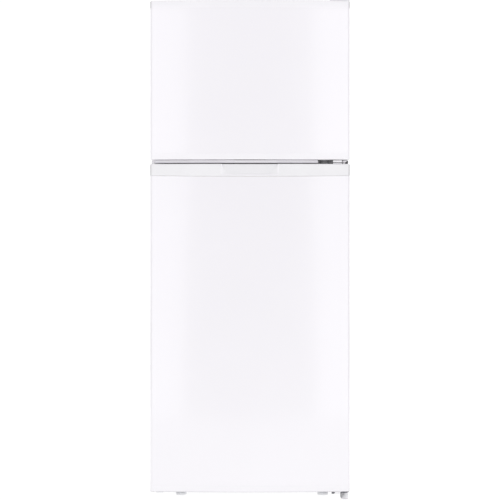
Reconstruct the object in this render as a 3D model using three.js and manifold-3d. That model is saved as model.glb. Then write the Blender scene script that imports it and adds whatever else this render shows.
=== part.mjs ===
// Top freezer refrigerator. Millimetres, +Z up, fronts towards -Y, door hinges on the +X side.
// The origin lies on the floor under the middle of the footprint.
import * as THREE from 'three';
import { mergeVertices } from 'three/addons/utils/BufferGeometryUtils.js';
import Module from 'manifold-3d';

const wasm = await Module();
wasm.setup();

// Overall size
const HALF_WIDTH = 300;
const FRONT = -330;
const BACK = 330;
const GAP = 0.3; // left between pieces that touch
const THROUGH = 2; // how far a cutting tool runs past a face

// Door fronts: a shallow bow, an arc with its centre far behind the cabinet
const BOW = 12;
const BOW_RADIUS = (HALF_WIDTH ** 2 + BOW ** 2) / (2 * BOW);
const BOW_CENTRE = FRONT + BOW_RADIUS;
const DOOR_CORNER = 8;
const DOOR_REAR = -271.5;
const DOOR_SHEET = 1.2;
const CAP_WALL = 2.5;

// Heights of the doors
const DOOR_BOTTOM = 30;
const FRIDGE_DOOR_HEIGHT = 986;
const DOOR_GAP = 13;
const FREEZER_DOOR_HEIGHT = 478;
const FREEZER_DOOR_BOTTOM = DOOR_BOTTOM + FRIDGE_DOOR_HEIGHT + DOOR_GAP;
const DOOR_TOP = FREEZER_DOOR_BOTTOM + FREEZER_DOOR_HEIGHT;
const GAP_MIDDLE = FREEZER_DOOR_BOTTOM - DOOR_GAP / 2;

// Hinge line, shared by both doors
const HINGE_X = 284;
const HINGE_Y = -290;
const PIN_RADIUS = 3.5;
const SOCKET_RADIUS = 3.9;
const SOCKET_DEPTH = 15;
const PIN_LENGTH = 13.5;

// Cabinet
const CABINET_FRONT = -258;
const CABINET_TOP = 1502;
const CABINET_BOTTOM = 34;
const SHEET = 1.5;
const LINER = 2;
const ROOM_HALF_WIDTH = 250;
const ROOM_BACK = 270;
const FRIDGE_FLOOR = 80;
const FRIDGE_CEILING = 990;
const FREEZER_FLOOR = 1055;
const FREEZER_CEILING = 1440;
const SHELL_INSIDE = HALF_WIDTH - SHEET - GAP;
const SHELL_BACK = BACK - SHEET - GAP;

// Machine compartment behind and below the fridge room, and the step that it makes in the room
const MACHINE_FRONT = 150;
const MACHINE_TOP = 260;
const STEP_FRONT = 110;
const STEP_TOP = 300;

// Feet and rollers
const FOOT_RADIUS = 16.5;
const FOOT_Y = -200;
const FOOT_LEFT_X = -213;
const FOOT_RIGHT_X = 225;
const HINGE_FOOT = { x: 289, y: -272, radius: 9 };
const ROLLER = { x: 250, y: 290, radius: 14, width: 14 };

// Shelves, bins and drawer
const SHELF_LEVELS = { crisper: 316, lower: 545, upper: 760 };
const SHELF_FRONT = -140;
const SHELF_BACK = 230;
const GLASS = 4;
const FREEZER_SHELF = 1242;
const BIN = { halfWidth: 198, depth: 106, wall: 2.5, rib: 7.5 };
const FREEZER_BINS = [{ name: 'freezer_bin', z: 110, height: 105 }];
const FRIDGE_BINS = [
  { name: 'fridge_bin_lower', z: 96, height: 125 },
  { name: 'fridge_bin_middle', z: 386, height: 100 },
  { name: 'fridge_bin_upper', z: 640, height: 100 },
];

const FINISH = {
  enamel: { color: 0xf6f4f9, roughness: 0.22, metalness: 0.0 },
  capPlastic: { color: 0xefeff1, roughness: 0.42, metalness: 0.0 },
  linerPlastic: { color: 0xf2f4f5, roughness: 0.35, metalness: 0.0 },
  gasket: { color: 0xe6e7ea, roughness: 0.7, metalness: 0.0 },
  foam: { color: 0xe9d9a6, roughness: 0.95, metalness: 0.0 },
  clearPlastic: { color: 0xdfe9ee, roughness: 0.1, metalness: 0.0 },
  glass: { color: 0xd5e8e2, roughness: 0.05, metalness: 0.0 },
  zinc: { color: 0xb9bcc0, roughness: 0.4, metalness: 0.9 },
  aluminium: { color: 0xc9ccd0, roughness: 0.35, metalness: 0.9 },
  copper: { color: 0xb87345, roughness: 0.35, metalness: 1.0 },
  blackSteel: { color: 0x1b1c1e, roughness: 0.45, metalness: 0.2 },
  greyPlastic: { color: 0x9b9ea3, roughness: 0.55, metalness: 0.0 },
  darkPlastic: { color: 0x2b2c2f, roughness: 0.6, metalness: 0.0 },
};

// --- Solids -----------------------------------------------------------------------------------

function block([x0, x1], [y0, y1], [z0, z1]) {
  const box = new THREE.BoxGeometry(x1 - x0, y1 - y0, z1 - z0);
  return box.translate((x0 + x1) / 2, (y0 + y1) / 2, (z0 + z1) / 2);
}

function rodAlongZ(radius, x, y, [z0, z1], sides = 24) {
  const rod = new THREE.CylinderGeometry(radius, radius, z1 - z0, sides);
  return rod.rotateX(Math.PI / 2).translate(x, y, (z0 + z1) / 2);
}

function rodAlongX(radius, [x0, x1], y, z, sides = 24) {
  const rod = new THREE.CylinderGeometry(radius, radius, x1 - x0, sides);
  return rod.rotateZ(Math.PI / 2).translate((x0 + x1) / 2, y, z);
}

function rodAlongY(radius, x, [y0, y1], z, sides = 24) {
  return new THREE.CylinderGeometry(radius, radius, y1 - y0, sides).translate(x, (y0 + y1) / 2, z);
}

// A plan outline raised from z0 to z1
function raise(shape, [z0, z1], curveSegments = 4) {
  const options = { depth: z1 - z0, bevelEnabled: false, curveSegments };
  return new THREE.ExtrudeGeometry(shape, options).translate(0, 0, z0);
}

// A side outline, drawn in Y and Z, carried along X
function carryAlongX(shape, [x0, x1], curveSegments = 4) {
  const options = { depth: x1 - x0, bevelEnabled: false, curveSegments };
  const sideways = new THREE.Matrix4().makeBasis(
    new THREE.Vector3(0, 1, 0),
    new THREE.Vector3(0, 0, 1),
    new THREE.Vector3(1, 0, 0),
  );
  return new THREE.ExtrudeGeometry(shape, options).applyMatrix4(sideways).translate(x0, 0, 0);
}

// A front outline, drawn in X and Z, carried along Y
function carryAlongY(shape, [y0, y1], curveSegments = 4) {
  const options = { depth: y1 - y0, bevelEnabled: false, curveSegments };
  const forwards = new THREE.Matrix4().makeBasis(
    new THREE.Vector3(1, 0, 0),
    new THREE.Vector3(0, 0, 1),
    new THREE.Vector3(0, -1, 0),
  );
  return new THREE.ExtrudeGeometry(shape, options).applyMatrix4(forwards).translate(0, y1, 0);
}

function polygon(corners) {
  return new THREE.Shape(corners.map(([a, b]) => new THREE.Vector2(a, b)));
}

function toSolid(geometry) {
  const bare = geometry.clone();
  bare.deleteAttribute('normal');
  bare.deleteAttribute('uv');
  const merged = mergeVertices(bare, 1e-4);
  return new wasm.Manifold(new wasm.Mesh({
    numProp: 3,
    vertProperties: Float32Array.from(merged.attributes.position.array),
    triVerts: Uint32Array.from(merged.index.array),
  }));
}

function toGeometry(solid) {
  const mesh = solid.getMesh();
  const geometry = new THREE.BufferGeometry();
  geometry.setAttribute('position', new THREE.BufferAttribute(mesh.vertProperties, 3));
  geometry.setIndex(new THREE.BufferAttribute(mesh.triVerts, 1));
  return geometry;
}

function join(first, ...others) {
  return toGeometry(others.reduce((whole, part) => whole.add(toSolid(part)), toSolid(first)));
}

function cut(base, ...tools) {
  return toGeometry(tools.reduce((rest, tool) => rest.subtract(toSolid(tool)), toSolid(base)));
}

function common(first, second) {
  return toGeometry(toSolid(first).intersect(toSolid(second)));
}

// An open-topped tray with walls of one thickness
function tray([x0, x1], [y0, y1], [z0, z1], wall) {
  return cut(
    block([x0, x1], [y0, y1], [z0, z1]),
    block([x0 + wall, x1 - wall], [y0 + wall, y1 - wall], [z0 + wall, z1 + THROUGH]),
  );
}

// A tube's centre line through a list of points, with one section at each point
class PointPath extends THREE.Curve {
  constructor(points) {
    super();
    this.points = points;
  }

  getUtoTmapping(u) {
    return u;
  }

  getPoint(t, target = new THREE.Vector3()) {
    const place = t * (this.points.length - 1);
    const index = Math.min(Math.floor(place), this.points.length - 2);
    return target.lerpVectors(this.points[index], this.points[index + 1], place - index);
  }
}

// The same route with each corner turned into a bend
function roundCorners(corners, radius, steps = 4) {
  const route = [corners[0]];
  for (let i = 1; i < corners.length - 1; i += 1) {
    const arrive = corners[i - 1].clone().sub(corners[i]).setLength(radius).add(corners[i]);
    const leave = corners[i + 1].clone().sub(corners[i]).setLength(radius).add(corners[i]);
    const bend = new THREE.QuadraticBezierCurve3(arrive, corners[i], leave);
    route.push(...bend.getPoints(steps));
  }
  route.push(corners[corners.length - 1]);
  return route;
}

function tube(corners, radius, bendRadius, sides = 8) {
  const section = new THREE.Shape();
  section.absarc(0, 0, radius, 0, 2 * Math.PI, false);
  const points = roundCorners(corners, bendRadius);
  const options = {
    steps: points.length - 1,
    extrudePath: new PointPath(points),
    curveSegments: sides / 2,
  };
  return new THREE.ExtrudeGeometry(section, options);
}

// One sub-part of the refrigerator
function piece(name, geometry, finish) {
  const mesh = new THREE.Mesh(geometry, new THREE.MeshStandardMaterial(finish));
  mesh.name = name;
  return mesh;
}

function placed(mesh, x, y, z) {
  mesh.position.set(x, y, z);
  return mesh;
}

// --- Cabinet ----------------------------------------------------------------------------------

// Left side, top and right side in one bent sheet, with a flange turned in along the front edge
function cabinetShell() {
  const flange = ROOM_HALF_WIDTH + LINER + GAP;
  const outside = block(
    [-HALF_WIDTH, HALF_WIDTH], [CABINET_FRONT, SHELL_BACK], [CABINET_BOTTOM, CABINET_TOP]);
  const inside = block(
    [-HALF_WIDTH + SHEET, HALF_WIDTH - SHEET],
    [CABINET_FRONT + SHEET, BACK],
    [CABINET_BOTTOM - THROUGH, CABINET_TOP - SHEET],
  );
  const mouth = block(
    [-flange, flange],
    [CABINET_FRONT - THROUGH, CABINET_FRONT + 2 * THROUGH],
    [CABINET_BOTTOM - THROUGH, FREEZER_CEILING + LINER + GAP],
  );
  return cut(outside, inside, mouth);
}

function backPanel() {
  return block([-HALF_WIDTH, HALF_WIDTH], [BACK - SHEET, BACK], [MACHINE_TOP + SHEET, CABINET_TOP]);
}

// Side outline of the fridge room, grown by a wall's thickness
function fridgeRoomOutline(grow) {
  return polygon([
    [CABINET_FRONT, FRIDGE_FLOOR - grow],
    [STEP_FRONT + grow, FRIDGE_FLOOR - grow],
    [STEP_FRONT + grow, STEP_TOP - grow],
    [ROOM_BACK + grow, STEP_TOP - grow],
    [ROOM_BACK + grow, FRIDGE_CEILING + grow],
    [CABINET_FRONT, FRIDGE_CEILING + grow],
  ]);
}

function fridgeRoom(grow) {
  const half = ROOM_HALF_WIDTH + grow;
  return carryAlongX(fridgeRoomOutline(grow), [-half, half]);
}

function freezerRoom(grow) {
  const half = ROOM_HALF_WIDTH + grow;
  return block(
    [-half, half], [CABINET_FRONT, ROOM_BACK + grow], [FREEZER_FLOOR - grow, FREEZER_CEILING + grow]);
}

function mouthCutter([z0, z1]) {
  return block(
    [-ROOM_HALF_WIDTH, ROOM_HALF_WIDTH], [CABINET_FRONT - THROUGH, CABINET_FRONT + THROUGH], [z0, z1]);
}

// A pair of ledges that carry a shelf along the side walls
function ledges(top, [y0, y1], height = 6, reach = 8) {
  return [-1, 1].map((side) => block(
    side < 0 ? [-ROOM_HALF_WIDTH - LINER / 2, reach - ROOM_HALF_WIDTH]
      : [ROOM_HALF_WIDTH - reach, ROOM_HALF_WIDTH + LINER / 2],
    [y0, y1],
    [top - height, top],
  ));
}

function fridgeLiner() {
  const hollow = cut(
    fridgeRoom(LINER), fridgeRoom(0), mouthCutter([FRIDGE_FLOOR, FRIDGE_CEILING]));
  const levels = Object.values(SHELF_LEVELS);
  return join(
    hollow, ...levels.flatMap((level) => ledges(level - GAP, [SHELF_FRONT + 10, SHELF_BACK])));
}

function freezerLiner() {
  const hollow = cut(
    freezerRoom(LINER), freezerRoom(0), mouthCutter([FREEZER_FLOOR, FREEZER_CEILING]));
  return join(hollow, ...ledges(FREEZER_SHELF - GAP, [-130, 190]));
}

// Insulation between the outer sheets and the liners, with a shallow hollow in each side for the
// condenser tube and a channel over the top where the tube crosses
function cabinetFoam() {
  const front = CABINET_FRONT + SHEET + GAP;
  const whole = block(
    [-SHELL_INSIDE, SHELL_INSIDE], [front, SHELL_BACK],
    [CABINET_BOTTOM + SHEET + GAP, CABINET_TOP - SHEET - GAP]);
  const machine = block(
    [-HALF_WIDTH, HALF_WIDTH],
    [MACHINE_FRONT - SHEET - GAP, BACK],
    [0, MACHINE_TOP + SHEET + GAP],
  );
  const rail = block(
    [-ROOM_HALF_WIDTH - LINER - GAP, ROOM_HALF_WIDTH + LINER + GAP],
    [front - THROUGH, RAIL.back + GAP],
    [FRIDGE_CEILING, FREEZER_FLOOR],
  );
  const pockets = [-1, 1].map((side) => block(
    side < 0 ? [-HALF_WIDTH, -CONDENSER.pocket] : [CONDENSER.pocket, HALF_WIDTH],
    [CONDENSER.front - 30, CONDENSER.back + 30],
    [CONDENSER.low - 30, CABINET_TOP],
  ));
  const channel = block(
    [-HALF_WIDTH, HALF_WIDTH],
    [CONDENSER.back - 12, CONDENSER.back + 12],
    [CONDENSER.top - 14, CABINET_TOP],
  );
  const stems = [FOOT_LEFT_X, FOOT_RIGHT_X].map(
    (x) => rodAlongZ(FOOT_STEM + 2, x, FOOT_Y, [CABINET_BOTTOM, FOOT_STEM_TOP + 3]));
  return cut(
    whole, fridgeRoom(LINER + GAP), freezerRoom(LINER + GAP), machine, rail, channel,
    ...pockets, ...stems);
}

const RAIL = { back: -240, wall: 2 };

// Channel across the front between the two rooms, which both gaskets close against
function centreRail() {
  const half = ROOM_HALF_WIDTH + LINER;
  const z = [FRIDGE_CEILING + LINER + GAP, FREEZER_FLOOR - LINER - GAP];
  return cut(
    block([-half, half], [CABINET_FRONT, RAIL.back], z),
    block(
      [-half + RAIL.wall, half - RAIL.wall],
      [CABINET_FRONT + RAIL.wall, RAIL.back + THROUGH],
      [z[0] + RAIL.wall, z[1] - RAIL.wall],
    ),
  );
}

// Floor sheet of the cabinet: lip at the front, step up and over the machine compartment
function basePlate() {
  const low = CABINET_BOTTOM;
  const front = CABINET_FRONT + SHEET + GAP;
  const outline = polygon([
    [front, low],
    [MACHINE_FRONT, low],
    [MACHINE_FRONT, MACHINE_TOP],
    [SHELL_BACK, MACHINE_TOP],
    [SHELL_BACK, MACHINE_TOP + SHEET],
    [MACHINE_FRONT - SHEET, MACHINE_TOP + SHEET],
    [MACHINE_FRONT - SHEET, low + SHEET],
    [front, low + SHEET],
  ]);
  const lip = block(
    [-ROOM_HALF_WIDTH - LINER, ROOM_HALF_WIDTH + LINER],
    [CABINET_FRONT, CABINET_FRONT + SHEET],
    [low, FRIDGE_FLOOR - LINER - GAP],
  );
  const bridge = block(
    [-ROOM_HALF_WIDTH, ROOM_HALF_WIDTH], [CABINET_FRONT, front + 10], [low, low + SHEET]);
  const stemHoles = [FOOT_LEFT_X, FOOT_RIGHT_X].map(
    (x) => rodAlongZ(FOOT_STEM + 0.4, x, FOOT_Y, [low - THROUGH, low + SHEET + THROUGH]));
  return cut(
    join(carryAlongX(outline, [-SHELL_INSIDE, SHELL_INSIDE]), lip, bridge), ...stemHoles);
}

// Tray that carries the compressor, with a fork and axle under it for each rear roller
function compressorTray() {
  const deck = block(
    [-SHELL_INSIDE, SHELL_INSIDE],
    [MACHINE_FRONT + GAP, ROLLER.y + 20],
    [CABINET_BOTTOM, CABINET_BOTTOM + SHEET],
  );
  const forks = [-ROLLER.x, ROLLER.x].flatMap((x) => {
    const cheek = ROLLER.width / 2 + 2;
    return [
      block([x - cheek - 2, x - cheek], [ROLLER.y - 10, ROLLER.y + 10], [8, CABINET_BOTTOM + 1]),
      block([x + cheek, x + cheek + 2], [ROLLER.y - 10, ROLLER.y + 10], [8, CABINET_BOTTOM + 1]),
      rodAlongX(3, [x - cheek - 1, x + cheek + 1], ROLLER.y, ROLLER.radius, 16),
    ];
  });
  return join(deck, ...forks);
}

function roller() {
  const half = ROLLER.width / 2;
  return cut(
    rodAlongX(ROLLER.radius, [-half, half], 0, 0, 28),
    rodAlongX(3.4, [-half - THROUGH, half + THROUGH], 0, 0, 16),
  );
}

// Levelling foot: a round pad on a threaded stem
const FOOT_STEM = 4.8;
const FOOT_STEM_TOP = 58;

function foot() {
  const profile = [
    [0, 0], [FOOT_RADIUS - 1.5, 0], [FOOT_RADIUS, 1.5], [FOOT_RADIUS, 8], [FOOT_RADIUS - 4, 12],
    [FOOT_STEM, 13], [FOOT_STEM, FOOT_STEM_TOP], [0, FOOT_STEM_TOP],
  ].map(([radius, height]) => new THREE.Vector2(radius, height));
  return new THREE.LatheGeometry(profile, 24).rotateX(Math.PI / 2);
}

function rearCover() {
  const plate = block(
    [-SHELL_INSIDE, SHELL_INSIDE],
    [SHELL_BACK - 4, SHELL_BACK - 4 + SHEET],
    [CABINET_BOTTOM + 2, MACHINE_TOP - GAP],
  );
  const slots = [];
  for (let column = 0; column < 9; column += 1) {
    for (let row = 0; row < 3; row += 1) {
      const x = -184 + column * 46;
      const z = 108 + row * 44;
      slots.push(block([x - 16, x + 16], [SHELL_BACK - 8, SHELL_BACK], [z - 4, z + 4]));
    }
  }
  const glandHole = rodAlongY(GLAND.neck + 0.4, GLAND.x, [SHELL_BACK - 8, SHELL_BACK], GLAND.z, 20);
  return cut(plate, glandHole, ...slots);
}

const GLAND = { x: 246, z: 70, neck: 9, flange: 13, bore: 4 };

function cordGland() {
  const face = SHELL_BACK - 4 + SHEET + GAP;
  return cut(
    join(
      rodAlongY(GLAND.flange, GLAND.x, [face, BACK], GLAND.z, 20),
      rodAlongY(GLAND.neck, GLAND.x, [face - 10, face + 1], GLAND.z, 20),
    ),
    rodAlongY(GLAND.bore, GLAND.x, [face - 20, BACK + THROUGH], GLAND.z, 16),
  );
}

// --- Refrigeration ----------------------------------------------------------------------------

const COMPRESSOR = { x: -95, y: 236, radius: 74, base: 54, top: 214 };

// Welded steel pot on a base plate with four sleeves
function compressor() {
  const { x, y, radius, base, top } = COMPRESSOR;
  const profile = [
    [0, base], [radius * 0.72, base], [radius * 0.94, base + 14], [radius * 0.94, base + 70],
    [radius, base + 73], [radius, base + 79], [radius * 0.94, base + 82],
    [radius * 0.92, top - 34], [radius * 0.72, top - 10], [radius * 0.4, top], [0, top],
  ].map(([r, z]) => new THREE.Vector2(r, z));
  const pot = new THREE.LatheGeometry(profile, 22).rotateX(Math.PI / 2).translate(x, y, 0);
  const plate = block([x - 98, x + 98], [y - 54, y + 54], [base - 2, base + 2]);
  const sleeves = [-1, 1].flatMap((a) => [-1, 1].map((b) => rodAlongZ(
    9, x + a * 84, y + b * 42, [CABINET_BOTTOM + SHEET + GAP, base + 6], 16)));
  return join(pot, plate, ...sleeves);
}

// Pan on top of the compressor, where melt water dries
function drainPan() {
  const { x, y, top } = COMPRESSOR;
  return tray([x - 100, x + 100], [y - 70, y + 70], [top + GAP, top + 34], 2);
}

const CONDENSER = {
  x: 294, pocket: 289, radius: 2.4, front: -190, back: 250, low: 330, high: 1400, top: 1496, runs: 7,
};

// One tube up and down each side wall, crossing over the top
function condenser() {
  const { x, front, back, low, high, top, runs } = CONDENSER;
  const pitch = (back - front) / (runs - 1);
  const left = [];
  for (let run = 0; run < runs; run += 1) {
    const y = front + run * pitch;
    const ends = run % 2 === 0 ? [low, high] : [high, low];
    left.push(...ends.map((z) => new THREE.Vector3(-x, y, z)));
  }
  left[left.length - 1].z = top;
  const right = left.map((point) => new THREE.Vector3(x, point.y, point.z)).reverse();
  return tube([...left, ...right], CONDENSER.radius, 24, 6);
}

const COLD = { y: 237, low: 1095, rows: 5, pitch: 36, halfWidth: 196, fins: 7 };

// Finned coil that cools the air behind the freezer's rear cover
function evaporator() {
  const corners = [];
  for (let row = 0; row < COLD.rows; row += 1) {
    const ends = row % 2 === 0 ? [-1, 1] : [1, -1];
    const z = COLD.low + row * COLD.pitch;
    corners.push(...ends.map((side) => new THREE.Vector3(side * COLD.halfWidth, COLD.y, z)));
  }
  const coil = tube(corners, 4, 16, 6);
  const fins = [];
  for (let fin = 0; fin < COLD.fins; fin += 1) {
    const x = -156 + fin * 52;
    fins.push(block(
      [x - 0.8, x + 0.8], [COLD.y - 24, COLD.y + 24],
      [COLD.low - 16, COLD.low + (COLD.rows - 1) * COLD.pitch + 16]));
  }
  return join(coil, ...fins);
}

// Sheathed rod bent up at both ends, under the coil
function defrostHeater() {
  const route = [[-210, 1120], [-210, 1068], [210, 1068], [210, 1120]];
  return tube(route.map(([x, z]) => new THREE.Vector3(x, COLD.y, z)), 3.5, 12);
}

const FAN = { z: 1352, radius: 48, front: 208, back: 223 };

function fanMotor() {
  const { z } = FAN;
  const legs = [-1, 1].map((side) => block(
    side < 0 ? [-80, -66] : [66, 80], [250, ROOM_BACK - GAP], [z - 7, z + 7]));
  return join(
    rodAlongY(25, 0, [227, 253], z, 24),
    rodAlongY(2.5, 0, [213, 228], z, 12),
    block([-80, 80], [250, 253], [z - 7, z + 7]),
    ...legs,
  );
}

function fanBlade() {
  const middle = (FAN.front + FAN.back) / 2;
  const half = (FAN.back - FAN.front) / 2;
  const blades = [];
  for (let i = 0; i < 5; i += 1) {
    const blade = new THREE.BoxGeometry(FAN.radius - 10, 1.8, 24);
    blade.rotateX(0.5).translate((FAN.radius + 10) / 2, 0, 0).rotateY((i * 2 * Math.PI) / 5);
    blades.push(blade);
  }
  const hub = rodAlongY(14, 0, [-half, half], 0, 20);
  const bore = rodAlongY(2.9, 0, [-half - THROUGH, half + THROUGH], 0, 12);
  return cut(join(hub, ...blades), bore).translate(0, middle, FAN.z);
}

// Panel in front of the coil and fan, with a fan guard above and return slots below
function freezerBackCover() {
  const half = ROOM_HALF_WIDTH - 1;
  const y = [200, 202.5];
  const plate = block([-half, half], y, [FREEZER_FLOOR + 1, FREEZER_CEILING - 1]);
  const opening = rodAlongY(52, 0, [y[0] - THROUGH, y[1] + THROUGH], FAN.z, 32);
  const guard = [
    block([-54, 54], y, [FAN.z - 2, FAN.z + 2]),
    block([-2, 2], y, [FAN.z - 54, FAN.z + 54]),
    cut(rodAlongY(34, 0, y, FAN.z, 28), rodAlongY(30, 0, [y[0] - THROUGH, y[1] + THROUGH], FAN.z, 28)),
    rodAlongY(12, 0, y, FAN.z, 20),
  ];
  const slots = [];
  for (let i = 0; i < 9; i += 1) {
    const x = -192 + i * 48;
    slots.push(block([x - 18, x + 18], [y[0] - THROUGH, y[1] + THROUGH], [1066, 1074]));
  }
  return join(cut(plate, opening, ...slots), ...guard);
}

// --- Inside the rooms -------------------------------------------------------------------------

// Wire shelf: an oblong frame with rods from front to back
function freezerShelf() {
  const half = ROOM_HALF_WIDTH - 4;
  const [front, back] = [-140, 190];
  const z = [FREEZER_SHELF, FREEZER_SHELF + 5];
  const frame = cut(
    block([-half, half], [front, back], z),
    block([-half + 5, half - 5], [front + 5, back - 5], [z[0] - THROUGH, z[1] + THROUGH]),
  );
  const wires = [];
  for (let i = 1; i < 18; i += 1) {
    const x = -half + (i * 2 * half) / 18;
    wires.push(block([x - 1.5, x + 1.5], [front + 2, back - 2], [z[0] + 1.5, z[1] - 0.5]));
  }
  const crossbar = block([-half + 2, half - 2], [20, 24], [z[0], z[0] + 3]);
  return join(frame, crossbar, ...wires);
}

function iceBin() {
  const z = FREEZER_SHELF + 5 + GAP;
  return tray([-110, 110], [-90, 150], [z, z + 90], 2.5);
}

function shelfGlass(level) {
  const half = ROOM_HALF_WIDTH - 4;
  return block([-half, half], [SHELF_FRONT, SHELF_BACK], [level, level + GLASS]);
}

// Plastic nosing along a shelf's front edge, with a groove that holds the glass
function shelfTrim(level, drop) {
  const half = ROOM_HALF_WIDTH - 3;
  return cut(
    block([-half, half], [SHELF_FRONT - 14, SHELF_FRONT + 8], [level - drop, level + GLASS + 4]),
    block(
      [-half - THROUGH, half + THROUGH],
      [SHELF_FRONT - GAP, SHELF_FRONT + 8 + THROUGH],
      [level - GAP, level + GLASS + GAP],
    ),
  );
}

const SLIDER = { y: SHELF_FRONT - 14, reach: 3, travel: 40 };

// Front frame of the crisper cover, with a groove for the humidity slider
function crisperFrame() {
  const z = SHELF_LEVELS.crisper;
  const groove = block(
    [60, 60 + SLIDER.travel + 22], [SLIDER.y - THROUGH, SLIDER.y + SLIDER.reach + GAP],
    [z - 9, z - 3]);
  return cut(shelfTrim(z, 14), groove);
}

function humiditySlider() {
  const z = SHELF_LEVELS.crisper;
  return join(
    block([61, 81], [SLIDER.y - 1, SLIDER.y + SLIDER.reach], [z - 8.7, z - 3.3]),
    block([66, 76], [SLIDER.y - 5, SLIDER.y], [z - 8.7, z - 3.3]),
  );
}

const CRISPER = { halfWidth: 238, front: -112, back: 104, floor: FRIDGE_FLOOR + 1, top: 294 };

// Drawer with walls of one thickness and a finger grip along the top of its front
function crisperDrawer() {
  const { halfWidth, front, back, floor, top } = CRISPER;
  const box = tray([-halfWidth, halfWidth], [front, back], [floor, top], 2.5);
  const grip = block([-90, 90], [front - 10, front + 1], [top - 8, top - 3]);
  return join(box, grip);
}

const HOUSING = { halfWidth: 130, front: -215, back: -75, low: 948 };
const SWITCH = { x: 105, z: 966, half: 5, front: -229.7 };

// Hollow control box under the fridge room's ceiling
function controlHousing() {
  const { halfWidth, front, back, low } = HOUSING;
  const top = FRIDGE_CEILING - GAP;
  return cut(
    tray([-halfWidth, halfWidth], [front, back], [low, top], 2.5),
    block([-104, -26], [-194, -106], [low - THROUGH, low + 4]),
    rodAlongZ(3.4, DIAL.x, DIAL.y, [low - THROUGH, low + 4], 16),
    block(
      [SWITCH.x - SWITCH.half - 0.5, SWITCH.x + SWITCH.half + 0.5],
      [front - THROUGH, front + 4],
      [SWITCH.z - SWITCH.half - 0.5, SWITCH.z + SWITCH.half + 0.5],
    ),
  );
}

const DIAL = { x: 60, y: -150, radius: 22 };

function temperatureDial() {
  const top = HOUSING.low - GAP;
  return join(
    rodAlongZ(DIAL.radius, DIAL.x, DIAL.y, [top - 7, top], 32),
    rodAlongZ(3, DIAL.x, DIAL.y, [top - 1, HOUSING.low + 8], 16),
    block([DIAL.x - 3, DIAL.x + 3], [DIAL.y - 18, DIAL.y + 18], [top - 15, top - 6]),
  );
}

function lampLens() {
  const top = HOUSING.low - GAP;
  const outer = block([-110, -20], [-200, -100], [top - 14, top]);
  return cut(outer, block([-108, -22], [-198, -102], [top - 12, top + THROUGH]));
}

// Push rod that the closed fridge door holds in
function lightSwitch() {
  const { x, z, half, front } = SWITCH;
  return block([x - half, x + half], [front, front + 26], [z - half, z + half]);
}

// --- Hinges -----------------------------------------------------------------------------------

// An arm, seen from above, that reaches forward and ends in a round eye about the hinge line
function armOutline(left, right, rear, eye) {
  const shape = new THREE.Shape();
  shape.moveTo(left, rear);
  shape.lineTo(left, HINGE_Y);
  shape.absarc(HINGE_X, HINGE_Y, eye, Math.PI, 2 * Math.PI, false);
  shape.lineTo(right, HINGE_Y);
  shape.lineTo(right, rear);
  shape.closePath();
  return shape;
}

const HINGE_PLATE = 3;
const HINGE_FLANGE = [CABINET_FRONT - GAP - HINGE_PLATE, CABINET_FRONT - GAP];
const EYE = 12;

function topHinge() {
  const arm = [DOOR_TOP + 1.5, DOOR_TOP + 1.5 + HINGE_PLATE];
  const foot = [CABINET_TOP + GAP, CABINET_TOP + GAP + HINGE_PLATE];
  const x = [HINGE_X - EYE, HINGE_X + EYE];
  return join(
    raise(armOutline(...x, -246, EYE), arm),
    block(x, [-249, -246], [foot[0], arm[1]]),
    block([252, 296], [-249, -196], foot),
    rodAlongZ(PIN_RADIUS, HINGE_X, HINGE_Y, [DOOR_TOP - PIN_LENGTH, arm[0] + 1], 16),
  );
}

function topHingeCover() {
  const wall = 2;
  const [front, back] = [-308, -186];
  const [low, high] = [CABINET_TOP + GAP, DOOR_TOP + 14];
  const underDoorLine = DOOR_TOP + 1.2;
  return cut(
    block([244, HALF_WIDTH], [front, back], [low, high]),
    block(
      [244 + wall, HALF_WIDTH - wall], [front + wall, back - wall], [low - THROUGH, high - wall]),
    block([240, HALF_WIDTH + 5], [front - 5, CABINET_FRONT + 1], [low - THROUGH, underDoorLine]),
  );
}

// Plate on the centre rail with one arm in the gap between the doors and a pin up and down
function centreHinge() {
  const half = 2;
  const arm = [GAP_MIDDLE - half, GAP_MIDDLE + half];
  const collar = [FREEZER_DOOR_BOTTOM - DOOR_GAP + GAP, FREEZER_DOOR_BOTTOM - GAP];
  const pin = [FREEZER_DOOR_BOTTOM - DOOR_GAP - PIN_LENGTH, FREEZER_DOOR_BOTTOM + PIN_LENGTH];
  return join(
    raise(armOutline(250, HINGE_X + EYE, HINGE_FLANGE[0] + 1, EYE), arm),
    block([206, 296], HINGE_FLANGE, [GAP_MIDDLE - 10.5, GAP_MIDDLE + 10.5]),
    rodAlongZ(6.5, HINGE_X, HINGE_Y, collar, 24),
    rodAlongZ(PIN_RADIUS, HINGE_X, HINGE_Y, pin, 16),
  );
}

function centreHingePlug() {
  return block([-292, -222], HINGE_FLANGE, [GAP_MIDDLE - 8, GAP_MIDDLE + 8]);
}

// Angle plate on the lower corner with the bottom pin and the threaded sleeve of the corner foot
function bottomHinge() {
  const arm = [DOOR_BOTTOM - 7, DOOR_BOTTOM - 3];
  const { x, y } = HINGE_FOOT;
  const body = join(
    raise(armOutline(HINGE_X - EYE, HALF_WIDTH - 1, HINGE_FLANGE[0] + 1, EYE), arm),
    block([246, HALF_WIDTH - 1], HINGE_FLANGE, [arm[0], 48]),
    rodAlongZ(PIN_RADIUS, HINGE_X, HINGE_Y, [arm[1] - 1, DOOR_BOTTOM + PIN_LENGTH], 16),
    rodAlongZ(6, x, y, [6, arm[0] + 1], 16),
  );
  return cut(body, rodAlongZ(3.9, x, y, [4, arm[1] + 4], 16));
}

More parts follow.
